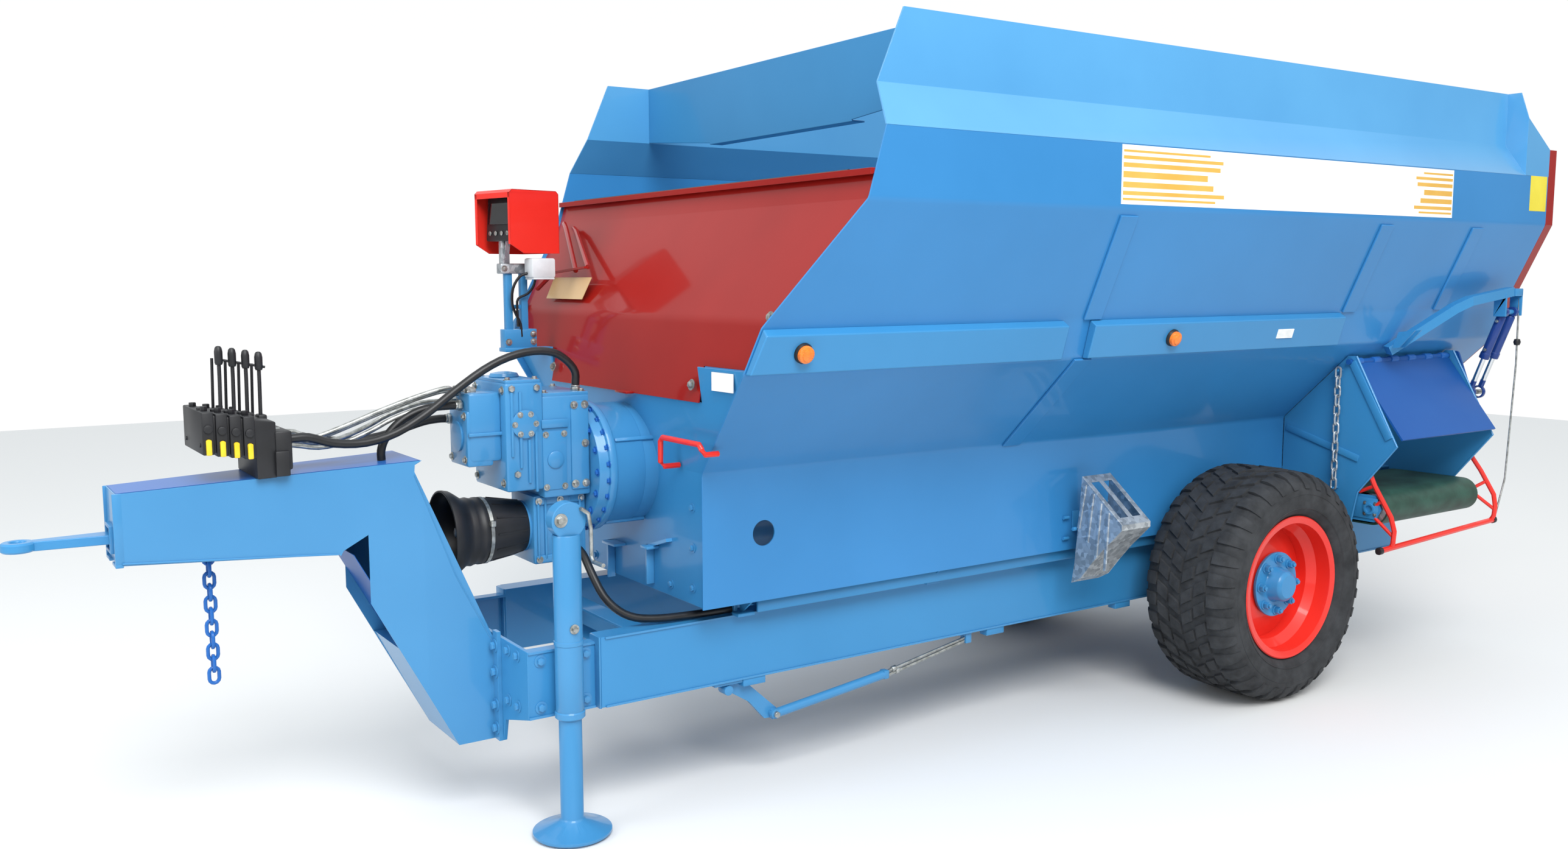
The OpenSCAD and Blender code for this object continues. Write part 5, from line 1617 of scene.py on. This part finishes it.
def conveyor_trim():
    bm = bmesh.new()
    rear, front = -1.288, -0.542
    y0, y1, z = 0.64, 0.985, 0.79
    outer = belt_outline(y0, y1, z, 0.075)
    inner = belt_outline(y0, y1, z, 0.0675)
    lines = []
    for line, x in ((outer, rear), (outer, front), (inner, front), (inner, rear)):
        lines.append(closed_line(bm, [at(x, y, h) for y, h in line])[1])
    for a, b in zip(lines, lines[1:] + lines[:1]):
        bmesh.ops.bridge_loops(bm, edges=a + b)
    piece("belt_loop", bm, belting, stands_for=("conveyor_belt",), smooth=40)
    bm = bmesh.new()
    for y in (y0, y1):
        rod(bm, at(rear + 0.008, y, z), at(front - 0.008, y, z), 0.0665, 48, edge=0.002)
        rod(bm, at(rear - 0.012, y, z), at(front + 0.01, y, z), 0.0155, 24, edge=0.002)
    piece("belt_drums", bm, zinc)
    bm = bmesh.new()
    # Bearing flanges on both side plates, and a cover plate on the near one
    for y in (y0, y1):
        for x, way in ((-0.53, 1), (-1.3, -1)):
            lathe(
                bm,
                [(0.0165, 0), (0.04, 0), (0.04, 0.006), (0.026, 0.01), (0.024, 0.016), (0.0165, 0.016)],
                at(x, y, z), (way, 0, 0), 32,
            )
    slab(bm, at(-0.53, 0.9, 0.745), at(-0.524, 1.02, 0.838), 0.002)
    piece("belt_bearings", bm, blue_enamel)
    items = []
    for y in (y0, y1):
        for a in turns(4, 0.5):
            place = at(-0.5235, y + 0.033 * math.cos(a), z + 0.033 * math.sin(a))
            items.append((place, AHEAD, 0.01, 0.006))
    hardware("bearing_bolts", items, bolt_zinc)
    bm = bmesh.new()
    rod(bm, at(-0.455, 1.09, 0.626), at(-0.432, 1.09, 0.625), 0.016, 24, edge=0.003)
    rod(bm, at(-1.371, 1.09, 0.665), at(-1.392, 1.09, 0.666), 0.016, 24, edge=0.003)
    piece("guard_caps", bm, plastic)
    bm = bmesh.new()
    for start, end in (
        ((-0.529, 1.0, 0.895), (-0.529, 0.93, 0.86)), ((-0.529, 1.04, 0.833), (-0.529, 1.0, 0.8)),
        ((-1.359, 1.06, 0.85), (-1.312, 1.0, 0.8)), ((-1.359, 1.104, 0.72), (-1.312, 1.03, 0.79)),
        ((-0.529, 1.098, 0.68), (-0.529, 1.01, 0.75)),
    ):
        pipe(bm, [at(*start), at(*end)], 0.008, 12)
    piece("guard_braces", bm, bright_red_enamel)
    # Thin stop rod from the arm down to the guard
    bm = bmesh.new()
    pipe(
        bm,
        [at(-1.505, 1.088, 1.715), at(-1.5, 1.094, 1.4), at(-1.44, 1.104, 0.86), at(-1.385, 1.1, 0.7)],
        0.0042, 12,
    )
    piece("stop_rod", bm, bolt_zinc)
    bm = bmesh.new()
    lathe(
        bm, [(0.0001, -0.016), (0.012, -0.014), (0.016, 0), (0.012, 0.014), (0.0001, 0.016)],
        at(-1.502, 1.092, 1.507), UPRIGHT, 24,
    )
    piece("stop_knob", bm, plastic)


conveyor_trim()


# Brake linkage: painted bell crank and tube, two bright rods with nuts
def brake_linkage():
    y = 0.41
    bm = bmesh.new()
    prism_y(
        bm, [(2.56, 0.4), (2.44, 0.4), (2.262, 0.238), (2.28, 0.222), (2.334, 0.226), (2.4, 0.3)],
        y - 0.008, y + 0.008,
    )
    prism_y(bm, [(2.44, 0.402), (2.56, 0.402), (2.56, 0.388), (2.44, 0.388)], y - 0.03, y + 0.036)
    for x, z in ((2.3, 0.242), (2.5, 0.366)):
        rod(bm, at(x, y - 0.014, z), at(x, y + 0.034, z), 0.018, 24, edge=0.002)
    pipe(
        bm, [at(2.312, y + 0.02, 0.2385), at(2.05, y + 0.02, 0.268), at(1.79, y + 0.02, 0.2985)], 0.0175,
        20,
    )
    slab(bm, at(1.775, y + 0.004, 0.282), at(1.8, y + 0.036, 0.316), 0.004)
    slab(bm, at(1.35, y - 0.004, 0.355), at(1.38, y + 0.034, 0.402), 0.004)
    slab(bm, at(1.35, y - 0.02, 0.394), at(1.42, y + 0.036, 0.402), 0.002)
    piece("brake_crank", bm, cast_blue_enamel, stands_for=("brake_linkage",), smooth=40)
    bm = bmesh.new()
    pipe(
        bm, [at(1.78, y + 0.02, 0.306), at(1.56, y + 0.02, 0.345), at(1.368, y + 0.02, 0.378)], 0.0058,
        16,
    )
    pipe(bm, [at(1.78, y + 0.02, 0.29), at(1.56, y + 0.02, 0.33), at(1.368, y + 0.02, 0.366)], 0.0058, 16)
    for x, z in ((1.752, 0.311), (1.735, 0.3005)):
        rod(bm, at(x, y + 0.02, z), at(x - 0.02, y + 0.02, z + 0.0036), 0.0125, 6, edge=0.001)
    rod(bm, at(2.3, y + 0.033, 0.242), at(2.3, y + 0.046, 0.242), 0.012, 6, edge=0.002)
    piece("brake_rods", bm, bolt_zinc, smooth=60)


brake_linkage()


# Hoses between the valve block, the gearbox and the frame
HOSES = {
    "hose_upper": [
        (3.88, 0.1, 1.33), (3.82, 0.1, 1.33), (3.74, 0.098, 1.305), (3.64, 0.096, 1.3),
        (3.54, 0.094, 1.325), (3.44, 0.092, 1.38), (3.34, 0.09, 1.45), (3.24, 0.09, 1.515),
        (3.15, 0.09, 1.555), (3.06, 0.09, 1.572), (2.985, 0.09, 1.565), (2.935, 0.09, 1.535),
        (2.905, 0.09, 1.495), (2.905, 0.09, 1.45),
    ],
    "hose_middle": [
        (3.88, -0.06, 1.32), (3.82, -0.06, 1.32), (3.74, -0.06, 1.3), (3.64, -0.058, 1.29),
        (3.55, -0.055, 1.3), (3.48, -0.052, 1.318), (3.405, -0.05, 1.339), (3.355, -0.05, 1.345),
        (3.329, -0.05, 1.345),
    ],
    "hose_riser": [
        (3.58, 0.05, 1.234), (3.58, 0.05, 1.264), (3.568, 0.05, 1.298), (3.54, 0.05, 1.333),
        (3.5, 0.05, 1.364), (3.45, 0.05, 1.386), (3.4, 0.05, 1.396), (3.355, 0.05, 1.398),
        (3.329, 0.05, 1.398),
    ],
    "hose_lower": [
        (2.96, 0.12, 0.9), (2.96, 0.17, 0.898), (2.96, 0.24, 0.88), (2.955, 0.3, 0.82),
        (2.935, 0.345, 0.75), (2.895, 0.375, 0.7), (2.84, 0.395, 0.672), (2.76, 0.41, 0.661),
        (2.66, 0.42, 0.658), (2.56, 0.425, 0.657), (2.48, 0.425, 0.657),
    ],
}


def hose(name, points):
    route = [at(*p) for p in smooth_route(points)]
    data = bpy.data.curves.new(name + "_rubber", "CURVE")
    data.dimensions = "3D"
    data.bevel_depth = 0.014
    data.bevel_resolution = 4
    data.use_fill_caps = True
    line = data.splines.new("POLY")
    line.points.add(len(route) - 1)
    for point, place in zip(line.points, route):
        point.co = (*place, 1)
    data.materials.append(hose_cover)
    obj = bpy.data.objects.new(name + "_rubber", data)
    bpy.context.scene.collection.objects.link(obj)
    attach(obj, "chassis")
    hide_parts(name)


for name, points in HOSES.items():
    hose(name, points)


# Studio
def studio():
    world = bpy.data.worlds.new("studio")
    world.use_nodes = True
    tree = world.node_tree
    sky = tree.nodes["Background"]
    coords = node(tree, "ShaderNodeTexCoord")
    height = node(tree, "ShaderNodeSeparateXYZ", {"Vector": coords.outputs["Generated"]})
    # White behind the wagon; elsewhere a greyer horizon under a bright, slightly blue sky
    rise = node(
        tree, "ShaderNodeMapRange",
        {"Value": height.outputs["Z"], "From Min": 0.06, "From Max": 0.5, "To Min": 0.34, "To Max": 1.1},
    )
    behind = node(
        tree, "ShaderNodeVectorMath", {0: coords.outputs["Generated"], 1: (-0.56, -0.83, 0.0)},
        operation="DOT_PRODUCT",
    )
    backdrop = node(
        tree, "ShaderNodeMapRange",
        {
            "Value": behind.outputs["Value"], "From Min": 0.6, "From Max": 0.78, "To Min": 0.0,
            "To Max": 1.02,
        },
    )
    power = node(
        tree, "ShaderNodeMath", {0: rise.outputs["Result"], 1: backdrop.outputs["Result"]},
        operation="MAXIMUM",
    )
    tint = node(tree, "ShaderNodeMix", {"Factor": height.outputs["Z"]}, data_type="RGBA")
    tint.inputs[6].default_value = (1.0, 1.0, 1.0, 1)
    tint.inputs[7].default_value = (0.9, 0.96, 1.0, 1)
    tree.links.new(tint.outputs[2], sky.inputs["Color"])
    tree.links.new(power.outputs["Value"], sky.inputs["Strength"])
    bpy.context.scene.world = world
    bm = bmesh.new()
    bmesh.ops.create_grid(bm, x_segments=1, y_segments=1, size=14)
    mesh = bpy.data.meshes.new("studio_floor")
    bm.to_mesh(mesh)
    bm.free()
    floor = bpy.data.objects.new("studio_floor", mesh)
    bpy.context.scene.collection.objects.link(floor)
    mesh.materials.append(finish_named("pale_floor", "#DEDEDD", 0.9)[0])
    lights = (
        ("key", (3.0, 6.6, 7.8), (0.4, 0, 1.2), 5.0, 880),
        ("front", (7.5, 0.5, 3.5), (0.8, 0, 1.2), 3.0, 110),
    )
    for name, place, aim, size, power in lights:
        data = bpy.data.lights.new(name, "AREA")
        data.shape = "SQUARE"
        data.size = size
        data.energy = power
        lamp = bpy.data.objects.new(name, data)
        lamp.location = place
        lamp.rotation_euler = (Vector(aim) - Vector(place)).to_track_quat("-Z", "Y").to_euler()
        bpy.context.scene.collection.objects.link(lamp)


studio()
bpy.context.scene.view_settings.view_transform = "Standard"

bpy.context.view_layer.update()
